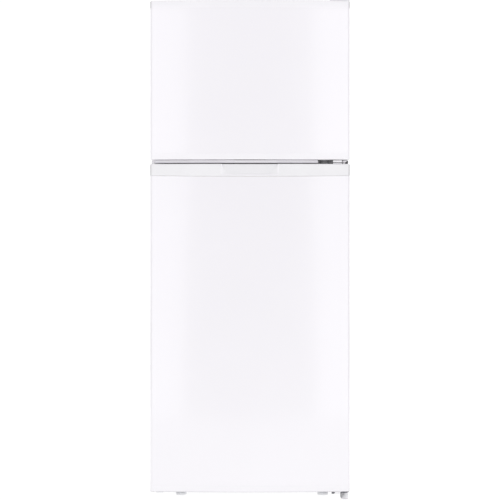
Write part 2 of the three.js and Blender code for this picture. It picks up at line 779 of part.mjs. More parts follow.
// Ribbed foot: a cup round the sleeve with a stud up its middle
function hingeFoot() {
  const { x, y, radius } = HINGE_FOOT;
  const top = DOOR_BOTTOM - 7 - GAP;
  return join(
    cut(rodAlongZ(radius, x, y, [0, top], 24), rodAlongZ(6.4, x, y, [4, top + THROUGH], 16)),
    rodAlongZ(3.5, x, y, [3, DOOR_BOTTOM - 1.5], 16),
  );
}

// --- Doors ------------------------------------------------------------------------------------

// Plan outline of a door, set in from the outer surface
function doorOutline(inset, rear) {
  const side = HALF_WIDTH - inset;
  const bow = BOW_RADIUS - inset;
  const corner = DOOR_CORNER - inset;
  const x = side - corner;
  const y = BOW_CENTRE - Math.sqrt((bow - corner) ** 2 - x ** 2);
  const tilt = Math.atan2(x, BOW_CENTRE - y);
  const down = 1.5 * Math.PI;
  const shape = new THREE.Shape();
  shape.moveTo(-side, rear);
  shape.lineTo(-side, y);
  shape.absarc(-x, y, corner, Math.PI, down - tilt, false);
  shape.absarc(0, BOW_CENTRE, bow, down - tilt, down + tilt, false);
  shape.absarc(x, y, corner, down + tilt, 2 * Math.PI, false);
  shape.lineTo(side, rear);
  shape.closePath();
  return shape;
}

// Front and sides in one sheet, with a return along both rear edges
function doorSkin([z0, z1]) {
  const past = [z0 - THROUGH, z1 + THROUGH];
  return cut(
    raise(doorOutline(0, DOOR_REAR), [z0, z1]),
    raise(doorOutline(DOOR_SHEET, DOOR_REAR - DOOR_SHEET), past),
    block([-288, 288], [DOOR_REAR - 2 * THROUGH, DOOR_REAR + THROUGH], past),
  );
}

// Hollow end cap with a hinge socket near each end. The hollow faces the middle of the door.
function endCap([z0, z1], faceUp) {
  const hollow = faceUp ? [z0 - THROUGH, z1 - CAP_WALL] : [z0 + CAP_WALL, z1 + THROUGH];
  const face = faceUp ? z1 : z0;
  const socket = faceUp ? [face - SOCKET_DEPTH, face + THROUGH] : [face - THROUGH, face + SOCKET_DEPTH];
  const boss = faceUp ? [face - SOCKET_DEPTH - 2, face - 1] : [face + 1, face + SOCKET_DEPTH + 2];
  const shell = cut(
    raise(doorOutline(0, DOOR_REAR), [z0, z1]),
    raise(doorOutline(CAP_WALL, DOOR_REAR - CAP_WALL), hollow),
  );
  const sides = [-HINGE_X, HINGE_X];
  return cut(
    join(shell, ...sides.map((x) => rodAlongZ(8, x, HINGE_Y, boss, 20))),
    ...sides.map((x) => rodAlongZ(SOCKET_RADIUS, x, HINGE_Y, socket, 16)),
  );
}

const GRIP = { half: 86, back: 83, foot: 60, lip: 2.2, footDepth: 2.5, depth: 16, height: 33 };

// A scoop in the front of the cap that narrows and runs out towards its lower edge, and behind it a
// finger slot
function withGrip(cap, top) {
  const low = top - GRIP.height;
  const high = top + THROUGH;
  const corners = [-1, 1].flatMap((side) => [
    [side * GRIP.half, FRONT - THROUGH, low],
    [side * GRIP.half, FRONT - THROUGH, high],
    [side * GRIP.half, FRONT + GRIP.lip, low],
    [side * GRIP.half, FRONT + GRIP.lip, high],
    [side * GRIP.back, FRONT + GRIP.depth, high],
    [side * GRIP.foot, FRONT + GRIP.footDepth, low],
  ]);
  const scoop = toGeometry(wasm.Manifold.hull(corners));
  const reach = GRIP.half + 4;
  const wall = block([-reach, reach], [FRONT + 1, DOOR_REAR - 1], [low - 1, top - 1]);
  const backing = common(wall, raise(doorOutline(0.6, DOOR_REAR - 1), [top - 40, top]));
  const slot = block(
    [-56, 56], [FRONT + GRIP.depth - 1, FRONT + GRIP.depth + 18], [top - 22, top + 5]);
  return cut(join(cap, backing), scoop, slot);
}

// Skirt under the cap, set back from the front, that narrows the gap between the doors and stops
// short of the hinge. A finger hollow runs up through it, behind its front wall.
const SKIRT = { left: -290, right: 205, drop: 9, setback: 7 };

function withSkirt(cap) {
  const { left, right, drop, setback } = SKIRT;
  const skirt = common(
    block([left, right], [FRONT, DOOR_REAR], [-drop, 1]),
    raise(doorOutline(setback, DOOR_REAR - 2), [-drop, 1]),
  );
  const wall = block([-54, 54], [FRONT + 8, DOOR_REAR - 16], [1, 15]);
  return cut(
    join(cap, skirt, wall),
    block([-50, 50], [FRONT + 11, DOOR_REAR - 20], [-drop - THROUGH, 12]),
    rodAlongZ(SOCKET_RADIUS, -HINGE_X, HINGE_Y, [-drop - THROUGH, 1], 16),
  );
}

// Raised ridge round the inside of a door
const RIDGE = { out: 236, width: 30, back: -232 };
const LINER_SHEET = 1.5;
const LINER_FACE = DOOR_REAR + GAP + LINER_SHEET;

// Frame-shaped ridge, with its walls moved inwards by the inset
function ridge([low, high], inset, [y0, y1]) {
  const out = RIDGE.out - inset;
  const inner = RIDGE.out - RIDGE.width + inset;
  return cut(
    block([-out, out], [y0, y1], [low + inset, high - inset]),
    block(
      [-inner, inner], [y0 - THROUGH, y1 + THROUGH],
      [low + RIDGE.width - inset, high - RIDGE.width + inset]),
  );
}

function doorLiner(height, ridgeSpan, bins) {
  const plate = block([-290, 290], [DOOR_REAR + GAP, LINER_FACE], [4, height - 6]);
  const lugs = bins.flatMap(({ z, height: binHeight }) => [-1, 1].map((side) => block(
    side < 0 ? [-206.5, -199] : [199, 206.5],
    [BIN_FRONT + 4, BIN_FRONT + 16],
    [z + binHeight - 50, z + binHeight - 30 - GAP],
  )));
  return join(
    cut(
      join(plate, ridge(ridgeSpan, 0, [DOOR_REAR + GAP, RIDGE.back])),
      ridge(ridgeSpan, LINER_SHEET, [DOOR_REAR - THROUGH, RIDGE.back - LINER_SHEET]),
    ),
    ...lugs,
  );
}

function doorFoam([z0, z1], ridgeSpan) {
  const inset = LINER_SHEET + GAP;
  const rear = DOOR_REAR - DOOR_SHEET - GAP;
  return join(
    raise(doorOutline(DOOR_SHEET + GAP, rear), [z0, z1]),
    ridge(ridgeSpan, inset, [rear - 2, RIDGE.back - inset]),
  );
}

const GASKET = { out: 272, width: 16 };

function gasket([low, high]) {
  const y = [LINER_FACE + GAP, CABINET_FRONT - GAP];
  const inner = GASKET.out - GASKET.width;
  return cut(
    block([-GASKET.out, GASKET.out], y, [low, high]),
    block(
      [-inner, inner], [y[0] - THROUGH, y[1] + THROUGH],
      [low + GASKET.width, high - GASKET.width]),
  );
}

const BIN_FRONT = LINER_FACE + 1.2;

// Open bin with a rib outside each end wall that hangs on a lug of the door liner
function doorBin(height) {
  const { halfWidth, depth, wall, rib } = BIN;
  const ribs = [-1, 1].map((side) => block(
    side < 0 ? [-halfWidth - rib, -halfWidth + 1] : [halfWidth - 1, halfWidth + rib],
    [4, 16],
    [height - 30, height - 15],
  ));
  return join(tray([-halfWidth, halfWidth], [0, depth], [0, height], wall), ...ribs);
}

function door({ name, height, topCap, bottomCap, ridgeSpan, gasketSpan, bins, top, bottom }) {
  const group = new THREE.Group();
  const middle = [bottomCap + GAP, height - topCap - GAP];
  group.add(
    piece(`${name}_skin`, doorSkin(middle), FINISH.enamel),
    piece(`${name}_top_cap`, top(endCap([height - topCap, height], true)), FINISH.capPlastic),
    piece(`${name}_bottom_cap`, bottom(endCap([0, bottomCap], false)), FINISH.capPlastic),
    piece(`${name}_foam`, doorFoam(middle, ridgeSpan), FINISH.foam),
    piece(`${name}_liner`, doorLiner(height, ridgeSpan, bins), FINISH.linerPlastic),
    piece(`${name}_gasket`, gasket(gasketSpan), FINISH.gasket),
  );
  for (const bin of bins) {
    const mesh = piece(bin.name, doorBin(bin.height), FINISH.clearPlastic);
    group.add(placed(mesh, 0, BIN_FRONT, bin.z));
  }
  return group;
}

function freezerDoor() {
  const group = door({
    name: 'freezer_door',
    height: FREEZER_DOOR_HEIGHT,
    topCap: 22,
    bottomCap: 18,
    ridgeSpan: [38, 399],
    gasketSpan: [6, 461],
    bins: FREEZER_BINS,
    top: (cap) => cap,
    bottom: withSkirt,
  });
  group.position.z = FREEZER_DOOR_BOTTOM;
  return group;
}

// Block on the underside of the door that meets the bottom hinge when the door is wide open
function doorStop() {
  return block([256, 272], [-318, -298], [-6.5, -GAP]);
}

// Cover on the unused hinge socket at the other end, with a peg in the socket
function doorHoleCover() {
  return join(
    block([-284, -262], [-301, -279], [-6.5, -GAP]),
    rodAlongZ(SOCKET_RADIUS - 0.4, -HINGE_X, HINGE_Y, [-1, 10], 16),
  );
}

function fridgeDoor() {
  const group = door({
    name: 'fridge_door',
    height: FRIDGE_DOOR_HEIGHT,
    topCap: 35,
    bottomCap: 18,
    ridgeSpan: [62, 948],
    gasketSpan: [20, 980],
    bins: FRIDGE_BINS,
    top: (cap) => withGrip(cap, FRIDGE_DOOR_HEIGHT),
    bottom: (cap) => cap,
  });
  group.add(
    piece('door_stop', doorStop(), FINISH.capPlastic),
    piece('door_hole_cover', doorHoleCover(), FINISH.capPlastic),
  );
  group.position.z = DOOR_BOTTOM;
  return group;
}

// --- Whole refrigerator -----------------------------------------------------------------------

function cabinet() {
  const group = new THREE.Group();
  group.add(
    piece('cabinet_shell', cabinetShell(), FINISH.enamel),
    piece('back_panel', backPanel(), FINISH.zinc),
    piece('cabinet_foam', cabinetFoam(), FINISH.foam),
    piece('freezer_liner', freezerLiner(), FINISH.linerPlastic),
    piece('fridge_liner', fridgeLiner(), FINISH.linerPlastic),
    piece('centre_rail', centreRail(), FINISH.enamel),
    piece('base_plate', basePlate(), FINISH.zinc),
    piece('compressor_tray', compressorTray(), FINISH.zinc),
    piece('rear_cover', rearCover(), FINISH.darkPlastic),
    piece('cord_gland', cordGland(), FINISH.darkPlastic),
  );
  return group;
}

function refrigeration() {
  const group = new THREE.Group();
  group.add(
    piece('compressor', compressor(), FINISH.blackSteel),
    piece('drain_pan', drainPan(), FINISH.greyPlastic),
    piece('condenser', condenser(), FINISH.copper),
    piece('evaporator', evaporator(), FINISH.aluminium),
    piece('defrost_heater', defrostHeater(), FINISH.aluminium),
    piece('fan_motor', fanMotor(), FINISH.blackSteel),
    piece('fan_blade', fanBlade(), FINISH.greyPlastic),
    piece('freezer_back_cover', freezerBackCover(), FINISH.linerPlastic),
  );
  return group;
}

function fittings() {
  const group = new THREE.Group();
  const { lower, upper, crisper } = SHELF_LEVELS;
  group.add(
    piece('freezer_shelf', freezerShelf(), FINISH.zinc),
    piece('ice_bin', iceBin(), FINISH.clearPlastic),
    piece('shelf_glass_lower', shelfGlass(lower), FINISH.glass),
    piece('shelf_trim_lower', shelfTrim(lower, 4), FINISH.capPlastic),
    piece('shelf_glass_upper', shelfGlass(upper), FINISH.glass),
    piece('shelf_trim_upper', shelfTrim(upper, 4), FINISH.capPlastic),
    piece('crisper_glass', shelfGlass(crisper), FINISH.glass),
    piece('crisper_frame', crisperFrame(), FINISH.capPlastic),
    piece('humidity_slider', humiditySlider(), FINISH.greyPlastic),
    piece('crisper_drawer', crisperDrawer(), FINISH.clearPlastic),
    piece('control_housing', controlHousing(), FINISH.capPlastic),
    piece('temperature_dial', temperatureDial(), FINISH.greyPlastic),
    piece('lamp_lens', lampLens(), FINISH.clearPlastic),
    piece('light_switch', lightSwitch(), FINISH.capPlastic),
  );
  return group;
}

function supports() {
  const group = new THREE.Group();
  group.add(
    piece('top_hinge', topHinge(), FINISH.zinc),
    piece('top_hinge_cover', topHingeCover(), FINISH.capPlastic),
    piece('centre_hinge', centreHinge(), FINISH.zinc),
    piece('centre_hinge_plug', centreHingePlug(), FINISH.capPlastic),
    piece('bottom_hinge', bottomHinge(), FINISH.zinc),
    piece('hinge_foot', hingeFoot(), FINISH.greyPlastic),
    placed(piece('foot_left', foot(), FINISH.greyPlastic), FOOT_LEFT_X, FOOT_Y, 0),
    placed(piece('foot_right', foot(), FINISH.greyPlastic), FOOT_RIGHT_X, FOOT_Y, 0),
    placed(piece('roller_left', roller(), FINISH.greyPlastic), -ROLLER.x, ROLLER.y, ROLLER.radius),
    placed(piece('roller_right', roller(), FINISH.greyPlastic), ROLLER.x, ROLLER.y, ROLLER.radius),
  );
  return group;
}

const refrigerator = new THREE.Group();
refrigerator.add(cabinet(), refrigeration(), fittings(), supports(), freezerDoor(), fridgeDoor());

export default refrigerator;
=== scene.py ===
import math
import bmesh
import bpy
from mathutils import Matrix, Vector


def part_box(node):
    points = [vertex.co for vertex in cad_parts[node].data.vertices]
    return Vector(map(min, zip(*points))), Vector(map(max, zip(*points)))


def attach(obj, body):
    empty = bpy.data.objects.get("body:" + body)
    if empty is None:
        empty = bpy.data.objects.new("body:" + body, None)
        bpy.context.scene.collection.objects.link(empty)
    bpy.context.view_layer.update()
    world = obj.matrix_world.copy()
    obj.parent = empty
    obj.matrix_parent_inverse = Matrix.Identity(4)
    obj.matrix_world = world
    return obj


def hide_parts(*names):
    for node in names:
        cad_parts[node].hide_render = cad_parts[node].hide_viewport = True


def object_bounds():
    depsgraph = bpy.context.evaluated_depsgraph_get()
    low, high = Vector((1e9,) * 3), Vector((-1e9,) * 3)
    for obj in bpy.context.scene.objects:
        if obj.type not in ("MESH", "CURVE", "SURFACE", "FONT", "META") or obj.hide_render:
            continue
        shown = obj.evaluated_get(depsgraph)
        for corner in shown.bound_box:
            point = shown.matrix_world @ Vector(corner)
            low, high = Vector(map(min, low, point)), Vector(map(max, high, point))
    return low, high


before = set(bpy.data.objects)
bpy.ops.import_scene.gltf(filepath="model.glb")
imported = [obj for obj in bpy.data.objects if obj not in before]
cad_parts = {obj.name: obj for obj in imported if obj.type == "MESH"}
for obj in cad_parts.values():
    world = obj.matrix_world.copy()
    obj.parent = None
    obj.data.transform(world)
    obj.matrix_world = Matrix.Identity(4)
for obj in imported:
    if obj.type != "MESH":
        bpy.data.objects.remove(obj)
cad_low, cad_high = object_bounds()

# Looks of a top freezer refrigerator. Fronts face -Y and the hinges are on the +X side. Shapes are
# worked out in millimetres in the CAD frame, and add_piece turns them into metres.
MM = 0.001
TURN = 2 * math.pi


def cad(node):
    """Lowest and highest corner of a CAD node, in millimetres."""
    return [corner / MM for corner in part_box(node)]


def middle(node):
    """The middle of a CAD node's box, in millimetres, as x, y and z."""
    return [(low + high) / 2 for low, high in zip(*cad(node))]


def add_object(name, data):
    thing = bpy.data.objects.new(name, data)
    bpy.context.scene.collection.objects.link(thing)
    return thing


def add_mesh(name, bm):
    mesh = bpy.data.meshes.new(name)
    bm.to_mesh(mesh)
    bm.free()
    return add_object(name, mesh)


def feed(tree, node, inputs):
    """Sets a node's inputs, each to a number or colour or to the output that drives it."""
    for socket, value in inputs.items():
        if isinstance(value, bpy.types.NodeSocket):
            tree.links.new(value, node.inputs[socket])
        else:
            node.inputs[socket].default_value = value


def add_node(tree, kind, inputs):
    node = tree.nodes.new("ShaderNode" + kind)
    feed(tree, node, inputs)
    return node


# --- Studio ---

# The camera stands straight in front, level with the middle of its view of the doors
CAMERA_DISTANCE = 4.0
VIEW_HEIGHT = 1.5
SENSOR = 36.0
FLOOR_REACH = 4.5


def add_camera():
    view_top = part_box("freezer_door_top_cap")[1].z
    data = bpy.data.cameras.new("camera")
    data.sensor_width = SENSOR
    data.lens = SENSOR * CAMERA_DISTANCE / VIEW_HEIGHT
    data.clip_end = 100
    camera = add_object("camera", data)
    camera.location = (0, cad_low[1] - CAMERA_DISTANCE, view_top - VIEW_HEIGHT / 2)
    camera.rotation_euler = (math.pi / 2, 0, 0)
    bpy.context.scene.camera = camera


def add_panel_light(name, place, aim, size, power):
    data = bpy.data.lights.new(name, "AREA")
    data.shape = "RECTANGLE"
    data.size, data.size_y = size
    data.energy = power
    light = add_object(name, data)
    light.location = place
    light.rotation_euler = (Vector(aim) - Vector(place)).to_track_quat("-Z", "Y").to_euler()


def add_world():
    """White to the camera, and a soft, slightly cool surround for everything it lights."""
    world = bpy.data.worlds.new("studio")
    bpy.context.scene.world = world
    world.use_nodes = True
    tree = world.node_tree
    tree.nodes.clear()
    surround = add_node(tree, "Background", {"Color": (0.975, 0.955, 1.0, 1), "Strength": 0.64})
    seen = add_node(tree, "Background", {"Color": (1, 1, 1, 1), "Strength": 1.05})
    is_camera = add_node(tree, "LightPath", {}).outputs["Is Camera Ray"]
    mix = add_node(tree, "MixShader", {0: is_camera, 1: surround.outputs[0], 2: seen.outputs[0]})
    add_node(tree, "OutputWorld", {"Surface": mix.outputs[0]})


def add_floor():
    """White paper, bright enough to stay white where the fridge shades it."""
    bm = bmesh.new()
    bmesh.ops.create_grid(bm, x_segments=1, y_segments=1, size=FLOOR_REACH)
    floor = add_mesh("floor", bm)
    paper = Finish("floor_paper", rough=0.8)
    paper.tint((3, 4), (0.11, 0.11, 0.112), (0.13, 0.13, 0.132))
    paper.set({"Emission Color": (1, 1, 1, 1), "Emission Strength": 0.92})
    floor.data.materials.append(paper.material)


def add_lights():
    aim = (0, 0, 0.8)
    for side in (-1, 1):
        # a little more light from the right
        power = 34.5 + 1.5 * side
        add_panel_light(f"front_panel_{side}", (side * 2.15, -4.6, 1.3), aim, (2.7, 3.4), power)
        add_panel_light(f"rear_panel_{side}", (side * 3.4, 3.4, 1.9), aim, (2.4, 2.8), 22)
    add_panel_light("top_panel", (0, -0.6, 3.6), (0, 0, 0), (3.4, 3.4), 12)


# --- Finishes ---

class Finish:
    """A node material whose colour, roughness and bump come from patterns in the piece's own space.
    A pattern is an output socket, or a tuple of noise's scale, detail and stretch."""

    def __init__(self, name, rough=0.5, metallic=0.0):
        self.material = bpy.data.materials.new(name)
        self.material.use_nodes = True
        self.tree = self.material.node_tree
        self.shader = self.tree.nodes["Principled BSDF"]
        self.place = self.output("TexCoord", {}, "Object")
        self.normal = None
        self.set({"Metallic": metallic, "Roughness": rough})

    def set(self, inputs):
        feed(self.tree, self.shader, inputs)

    def output(self, kind, inputs, socket):
        return add_node(self.tree, kind, inputs).outputs[socket]

    def texture(self, kind, stretch, inputs, socket):
        place = self.output("Mapping", {"Vector": self.place, "Scale": stretch}, 0)
        return self.output(kind, {"Vector": place, **inputs}, socket)

    def noise(self, scale, detail, stretch=(1, 1, 1)):
        return self.texture("TexNoise", stretch, {"Scale": scale, "Detail": detail}, "Fac")

    def cells(self, scale, socket="Distance"):
        return self.texture("TexVoronoi", (1, 1, 1), {"Scale": scale}, socket)

    def upward(self):
        """1 on faces that look up, 0 on faces that look down: where dust settles."""
        normal = self.output("NewGeometry", {}, "Normal")
        return self.spread(self.output("SeparateXYZ", {0: normal}, "Z"), 0.2, 1.0, 0.0, 1.0)

    def drawn(self, pattern):
        return self.noise(*pattern) if isinstance(pattern, tuple) else pattern

    def spread(self, pattern, low, high, out_low, out_high):
        limits = {"From Min": low, "From Max": high, "To Min": out_low, "To Max": out_high}
        return self.output("MapRange", {"Value": self.drawn(pattern), **limits}, "Result")

    def times(self, first, second):
        node = add_node(self.tree, "Math", {0: first, 1: second})
        node.operation = "MULTIPLY"
        return node.outputs[0]

    def tint(self, pattern, dark, light, low=0.3, high=0.7):
        ramp = add_node(self.tree, "ValToRGB", {0: self.drawn(pattern)})
        for stop, place, color in zip(ramp.color_ramp.elements, (low, high), (dark, light)):
            stop.position = place
            stop.color = (*color, 1)
        self.set({"Base Color": ramp.outputs[0]})
        return ramp.outputs[0]

    def over(self, base, amount, color):
        """Lays a second colour, such as dust, over the base colour."""
        mix = self.tree.nodes.new("ShaderNodeMix")
        mix.data_type = "RGBA"
        # a colour mix has sockets of the same names for numbers, so these go by their place
        feed(self.tree, mix, {0: amount, 6: base, 7: (*color, 1)})
        self.set({"Base Color": mix.outputs[2]})

    def roughen(self, pattern, low, high):
        self.set({"Roughness": self.spread(pattern, 0.3, 0.7, low, high)})

    def bump(self, pattern, depth, strength):
        inputs = {"Height": self.drawn(pattern), "Distance": depth, "Strength": strength}
        if self.normal is not None:
            inputs["Normal"] = self.normal
        self.normal = self.output("Bump", inputs, "Normal")
        self.set({"Normal": self.normal})


def enamel(name, dark, light):
    """Gloss enamel on steel sheet, with a faint orange peel."""
    finish = Finish(name)
    finish.tint((2.2, 2), dark, light)
    finish.roughen((9, 4), 0.16, 0.22)
    finish.bump((260, 2), 0.00004, 0.25)
    finish.bump((5, 1), 0.0006, 0.08)
    finish.set({"Coat Weight": 0.6, "Coat Roughness": 0.08})
    return finish.material


def moulded(name, dark, light, rough, grain=1500, depth=0.00006, strength=0.3):
    """Moulded plastic with a fine etched grain and slight flow marks."""
    finish = Finish(name)
    finish.tint((14, 5), dark, light)
    finish.roughen((40, 4), rough - 0.05, rough + 0.05)
    finish.bump((grain, 2), depth, strength)
    finish.bump((18, 2), 0.00015, 0.05)
    return finish.material


def clear(name, dark, light, rough, ior, body):
    """See-through plastic or glass with faint smears and hairline scratches. body is how much of
    the light it catches."""
    finish = Finish(name)
    finish.tint((20, 3), dark, light)
    finish.set({"Transmission Weight": 0.35, "Alpha": body, "IOR": ior})
    finish.roughen((12, 6, (1, 3, 1)), rough, rough + 0.07)
    finish.bump((300, 2, (1, 8, 1)), 0.00002, 0.15)
    return finish.material


def metal(name, dark, light, rough, spangle=None, grain=(1, 1, 1)):
    """Bare metal: zinc crystals where spangle is given, else fine drawn or rolled lines."""
    finish = Finish(name, metallic=1.0)
    if spangle:
        finish.tint(finish.cells(spangle, "Color"), dark, light, 0.1, 0.9)
    else:
        finish.tint((30, 6, grain), dark, light)
    finish.roughen((60, 5, grain), rough - 0.08, rough + 0.1)
    finish.bump((700, 3, grain), 0.00004, 0.25)
    return finish.material


def foamed(name, dark, light):
    """Rigid foam: a cellular skin in two yellows."""
    finish = Finish(name, rough=0.9)
    finish.tint((25, 6), dark, light)
    finish.bump(finish.cells(420), 0.0006, 0.6)
    finish.bump((60, 4), 0.0015, 0.3)
    return finish.material


def dusty(name, dark, light, dust):
    """Enamel of the compressor, with dust on what looks up."""
    finish = Finish(name)
    base = finish.tint((40, 4), dark, light)
    amount = finish.times(finish.upward(), finish.spread((35, 6), 0.4, 0.75, 0.0, 0.5))
    finish.over(base, amount, dust)
    finish.roughen((25, 5), 0.3, 0.5)
    finish.bump((220, 3), 0.00015, 0.35)
    return finish.material


def soft_rubber(name, dark, light, rough=0.62):
    finish = Finish(name)
    finish.tint((18, 5), dark, light)
    finish.roughen((70, 4), rough - 0.06, rough + 0.08)
    finish.bump((900, 3), 0.00008, 0.4)
    return finish.material


# Each look's maker and its values, first of them a dark and a light colour
FINISHES = {
    "enamel": (enamel, (0.90, 0.89, 0.91), (0.915, 0.905, 0.925)),
    "cap_gloss": (moulded, (0.895, 0.888, 0.905), (0.91, 0.902, 0.92), 0.22, 900, 0.00003, 0.1),
    "skirt_plastic": (moulded, (0.70, 0.69, 0.72), (0.74, 0.73, 0.76), 0.4),
    "cap_plastic": (moulded, (0.83, 0.83, 0.836), (0.86, 0.86, 0.866), 0.38),
    "liner": (moulded, (0.872, 0.885, 0.897), (0.882, 0.894, 0.905), 0.34, 900, 0.00003, 0.1),
    "gasket": (soft_rubber, (0.70, 0.70, 0.715), (0.78, 0.78, 0.795)),
    "rubber": (soft_rubber, (0.015, 0.015, 0.016), (0.04, 0.04, 0.042), 0.8),
    "foam": (foamed, (0.66, 0.52, 0.24), (0.86, 0.76, 0.48)),
    "clear_plastic": (clear, (0.92, 0.955, 0.97), (0.96, 0.98, 0.99), 0.08, 1.46, 0.3),
    "glass": (clear, (0.72, 0.90, 0.83), (0.80, 0.94, 0.88), 0.02, 1.5, 0.4),
    "frosted": (clear, (0.92, 0.93, 0.95), (0.97, 0.97, 0.98), 0.35, 1.45, 0.85),
    "zinc": (metal, (0.52, 0.54, 0.56), (0.66, 0.68, 0.70), 0.38, 160),
    "back_sheet": (metal, (0.62, 0.64, 0.66), (0.69, 0.71, 0.73), 0.42, 150),
    "dark_zinc": (metal, (0.10, 0.10, 0.115), (0.22, 0.22, 0.24), 0.42),
    # darker plastic for the caps' ends, standing in for the shade where they turn away: painted shade
    "painted_shade_end_plastic": (moulded, (0.34, 0.34, 0.35), (0.40, 0.40, 0.41), 0.45),
    "plate_paint": (moulded, (0.80, 0.80, 0.82), (0.88, 0.88, 0.90), 0.35, 700),
    "aluminium": (metal, (0.62, 0.64, 0.66), (0.82, 0.84, 0.86), 0.32, None, (1, 6, 6)),
    "copper": (metal, (0.50, 0.22, 0.12), (0.80, 0.44, 0.27), 0.28),
    "black_steel": (dusty, (0.012, 0.012, 0.013), (0.03, 0.03, 0.032), (0.32, 0.30, 0.28)),
    "wire_coat": (moulded, (0.86, 0.87, 0.88), (0.90, 0.91, 0.92), 0.3, 500),
    "grey_plastic": (moulded, (0.40, 0.405, 0.42), (0.50, 0.505, 0.52), 0.5),
    "foot_plastic": (moulded, (0.79, 0.79, 0.805), (0.85, 0.85, 0.865), 0.5),
    "dark_plastic": (moulded, (0.02, 0.02, 0.022), (0.045, 0.045, 0.048), 0.55, 900),
}
LOOKS = {name: make(name, *values) for name, (make, *values) in FINISHES.items()}


# --- Shapes ---

def add_piece(name, bm, look, node=None, body="cabinet", smooth=38):
    """Turns a shape into a piece that rides on a body, in place of a CAD node where one is given.
    Edges sharper than smooth stay crisp."""
    weld(bm, 1e-3)
    for face in bm.faces:
        face.smooth = True
    for edge in bm.edges:
        edge.smooth = len(edge.link_faces) == 2 and edge.calc_face_angle(0) < math.radians(smooth)
    bmesh.ops.scale(bm, vec=(MM, MM, MM), verts=bm.verts)
    piece = add_mesh(name, bm)
    piece.data.materials.append(LOOKS[look])
    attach(piece, body)
    if node:
        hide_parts(node)
    return piece


def weld(bm, dist):
    """Joins points that meet, and turns the faces out."""
    bmesh.ops.remove_doubles(bm, verts=bm.verts, dist=dist)
    bmesh.ops.recalc_face_normals(bm, faces=bm.faces)


def loft(bm, loops, ring=False):
    """Joins loops of points, all of one length, into a skin. A ring joins the last to the first."""
    rows = [[bm.verts.new(point) for point in loop] for loop in loops]
    for first, second in zip(rows, rows[1:] + (rows[:1] if ring else [])):
        for i in range(len(first)):
            j = (i + 1) % len(first)
            bm.faces.new((first[i], first[j], second[j], second[i]))
    if not ring:
        bm.faces.new(rows[0][::-1])
        bm.faces.new(rows[-1])


def lofted(loops):
    bm = bmesh.new()
    loft(bm, loops)
    return bm


def polar(radius, angle, centre=(0, 0)):
    return centre[0] + radius * math.cos(angle), centre[1] + radius * math.sin(angle)


def around(steps):
    """The angles of a whole turn taken in steps."""
    return [TURN * i / steps for i in range(steps)]


def arc(centre, radius, start, end, steps):
    """Points on an arc, its angles in degrees, both ends included."""
    angles = [math.radians(start + (end - start) * i / steps) for i in range(steps + 1)]
    return [polar(radius, angle, centre) for angle in angles]


def rounded_rect(low, high, radius, steps=5):
    """Outline of a rectangle with round corners, as points in its own plane."""
    (a0, b0), (a1, b1) = low, high
    r = max(min(radius, (a1 - a0) / 2 - 0.01, (b1 - b0) / 2 - 0.01), 0.01)
    centres = [(a1 - r, b0 + r), (a1 - r, b1 - r), (a0 + r, b1 - r), (a0 + r, b0 + r)]
    points = []
    for centre, start in zip(centres, (-90, 0, 90, 180)):
        points += arc(centre, r, start, start + 90, steps)
    return points


def mirrored(points):
    """The points again, from the last to the first, on the other side of the middle."""
    return [(-x, y) for x, y in points[::-1]]


def at_z(points, z):
    return [Vector((x, y, z)) for x, y in points]


def at_y(points, y):
    return [Vector((x, y, z)) for x, z in points]


def add_block(bm, low, high):
    """A box with sharp edges."""
    corners = bmesh.ops.create_cube(bm, size=1)["verts"]
    for vert in corners:
        vert.co = Vector([(l + h) / 2 + c * (h - l) for l, h, c in zip(low, high, vert.co)])
    return corners


def add_box(bm, low, high, radius, segments=2):
    """A box with rounded edges."""
    edges = list({edge for vert in add_block(bm, low, high) for edge in vert.link_edges})
    radius = min(radius, min(h - l for l, h in zip(low, high)) * 0.49)
    bmesh.ops.bevel(bm, geom=edges, offset=radius, segments=segments, profile=0.5, affect="EDGES")


def add_pair(bm, near, far, y, z, radius, segments):
    """Two rounded boxes, one on each side, from near to far away from the middle."""
    for side in (-1, 1):
        x0, x1 = sorted((side * near, side * far))
        add_box(bm, (x0, y[0], z[0]), (x1, y[1], z[1]), radius, segments)


TURN_TO = {
    "Z": Matrix.Identity(3),
    "X": Matrix.Rotation(math.pi / 2, 3, "Y"),
    "Y": Matrix.Rotation(-math.pi / 2, 3, "X"),
}


def spun(radius, height, angle, centre, axis):
    """A point at a radius, height and angle about an axis through the centre."""
    return Vector(centre) + TURN_TO[axis] @ Vector((*polar(radius, angle), height))


def add_lathe(bm, profile, centre, steps=32, axis="Z"):
    """A solid of revolution from (radius, height) points that start and end on the axis."""
    rows = []
    for radius, height in profile:
        angles = around(steps if radius > 1e-6 else 1)
        rows.append([bm.verts.new(spun(radius, height, angle, centre, axis)) for angle in angles])
    for first, second in zip(rows, rows[1:]):
        for i in range(steps):
            j = (i + 1) % steps
            corners = [
                first[i % len(first)], first[j % len(first)],
                second[j % len(second)], second[i % len(second)],
            ]
            corners = list(dict.fromkeys(corners))
            if len(corners) > 2:
                bm.faces.new(corners)


def add_rod(bm, radius, low, high, centre, steps):
    """An upright cylinder between two heights above its centre."""
    add_lathe(bm, [(0, low), (radius, low), (radius, high), (0, high)], centre, steps)


def add_tube(bm, points, radius, sides=10, closed=False):
    """A round tube through points, its section turned as little as possible."""
    points = [Vector(point) for point in points]
    count = len(points)
    loops = []
    side = None
    for i, point in enumerate(points):
        before = points[i - 1] if i or closed else point
        after = points[(i + 1) % count] if i < count - 1 or closed else point
        along = (after - before).normalized()
        side = along.orthogonal() if side is None else side
        side = (side - along * side.dot(along)).normalized()
        other = along.cross(side)
        loops.append([
            point + radius * (math.cos(angle) * side + math.sin(angle) * other)
            for angle in around(sides)
        ])
    loft(bm, loops, ring=closed)


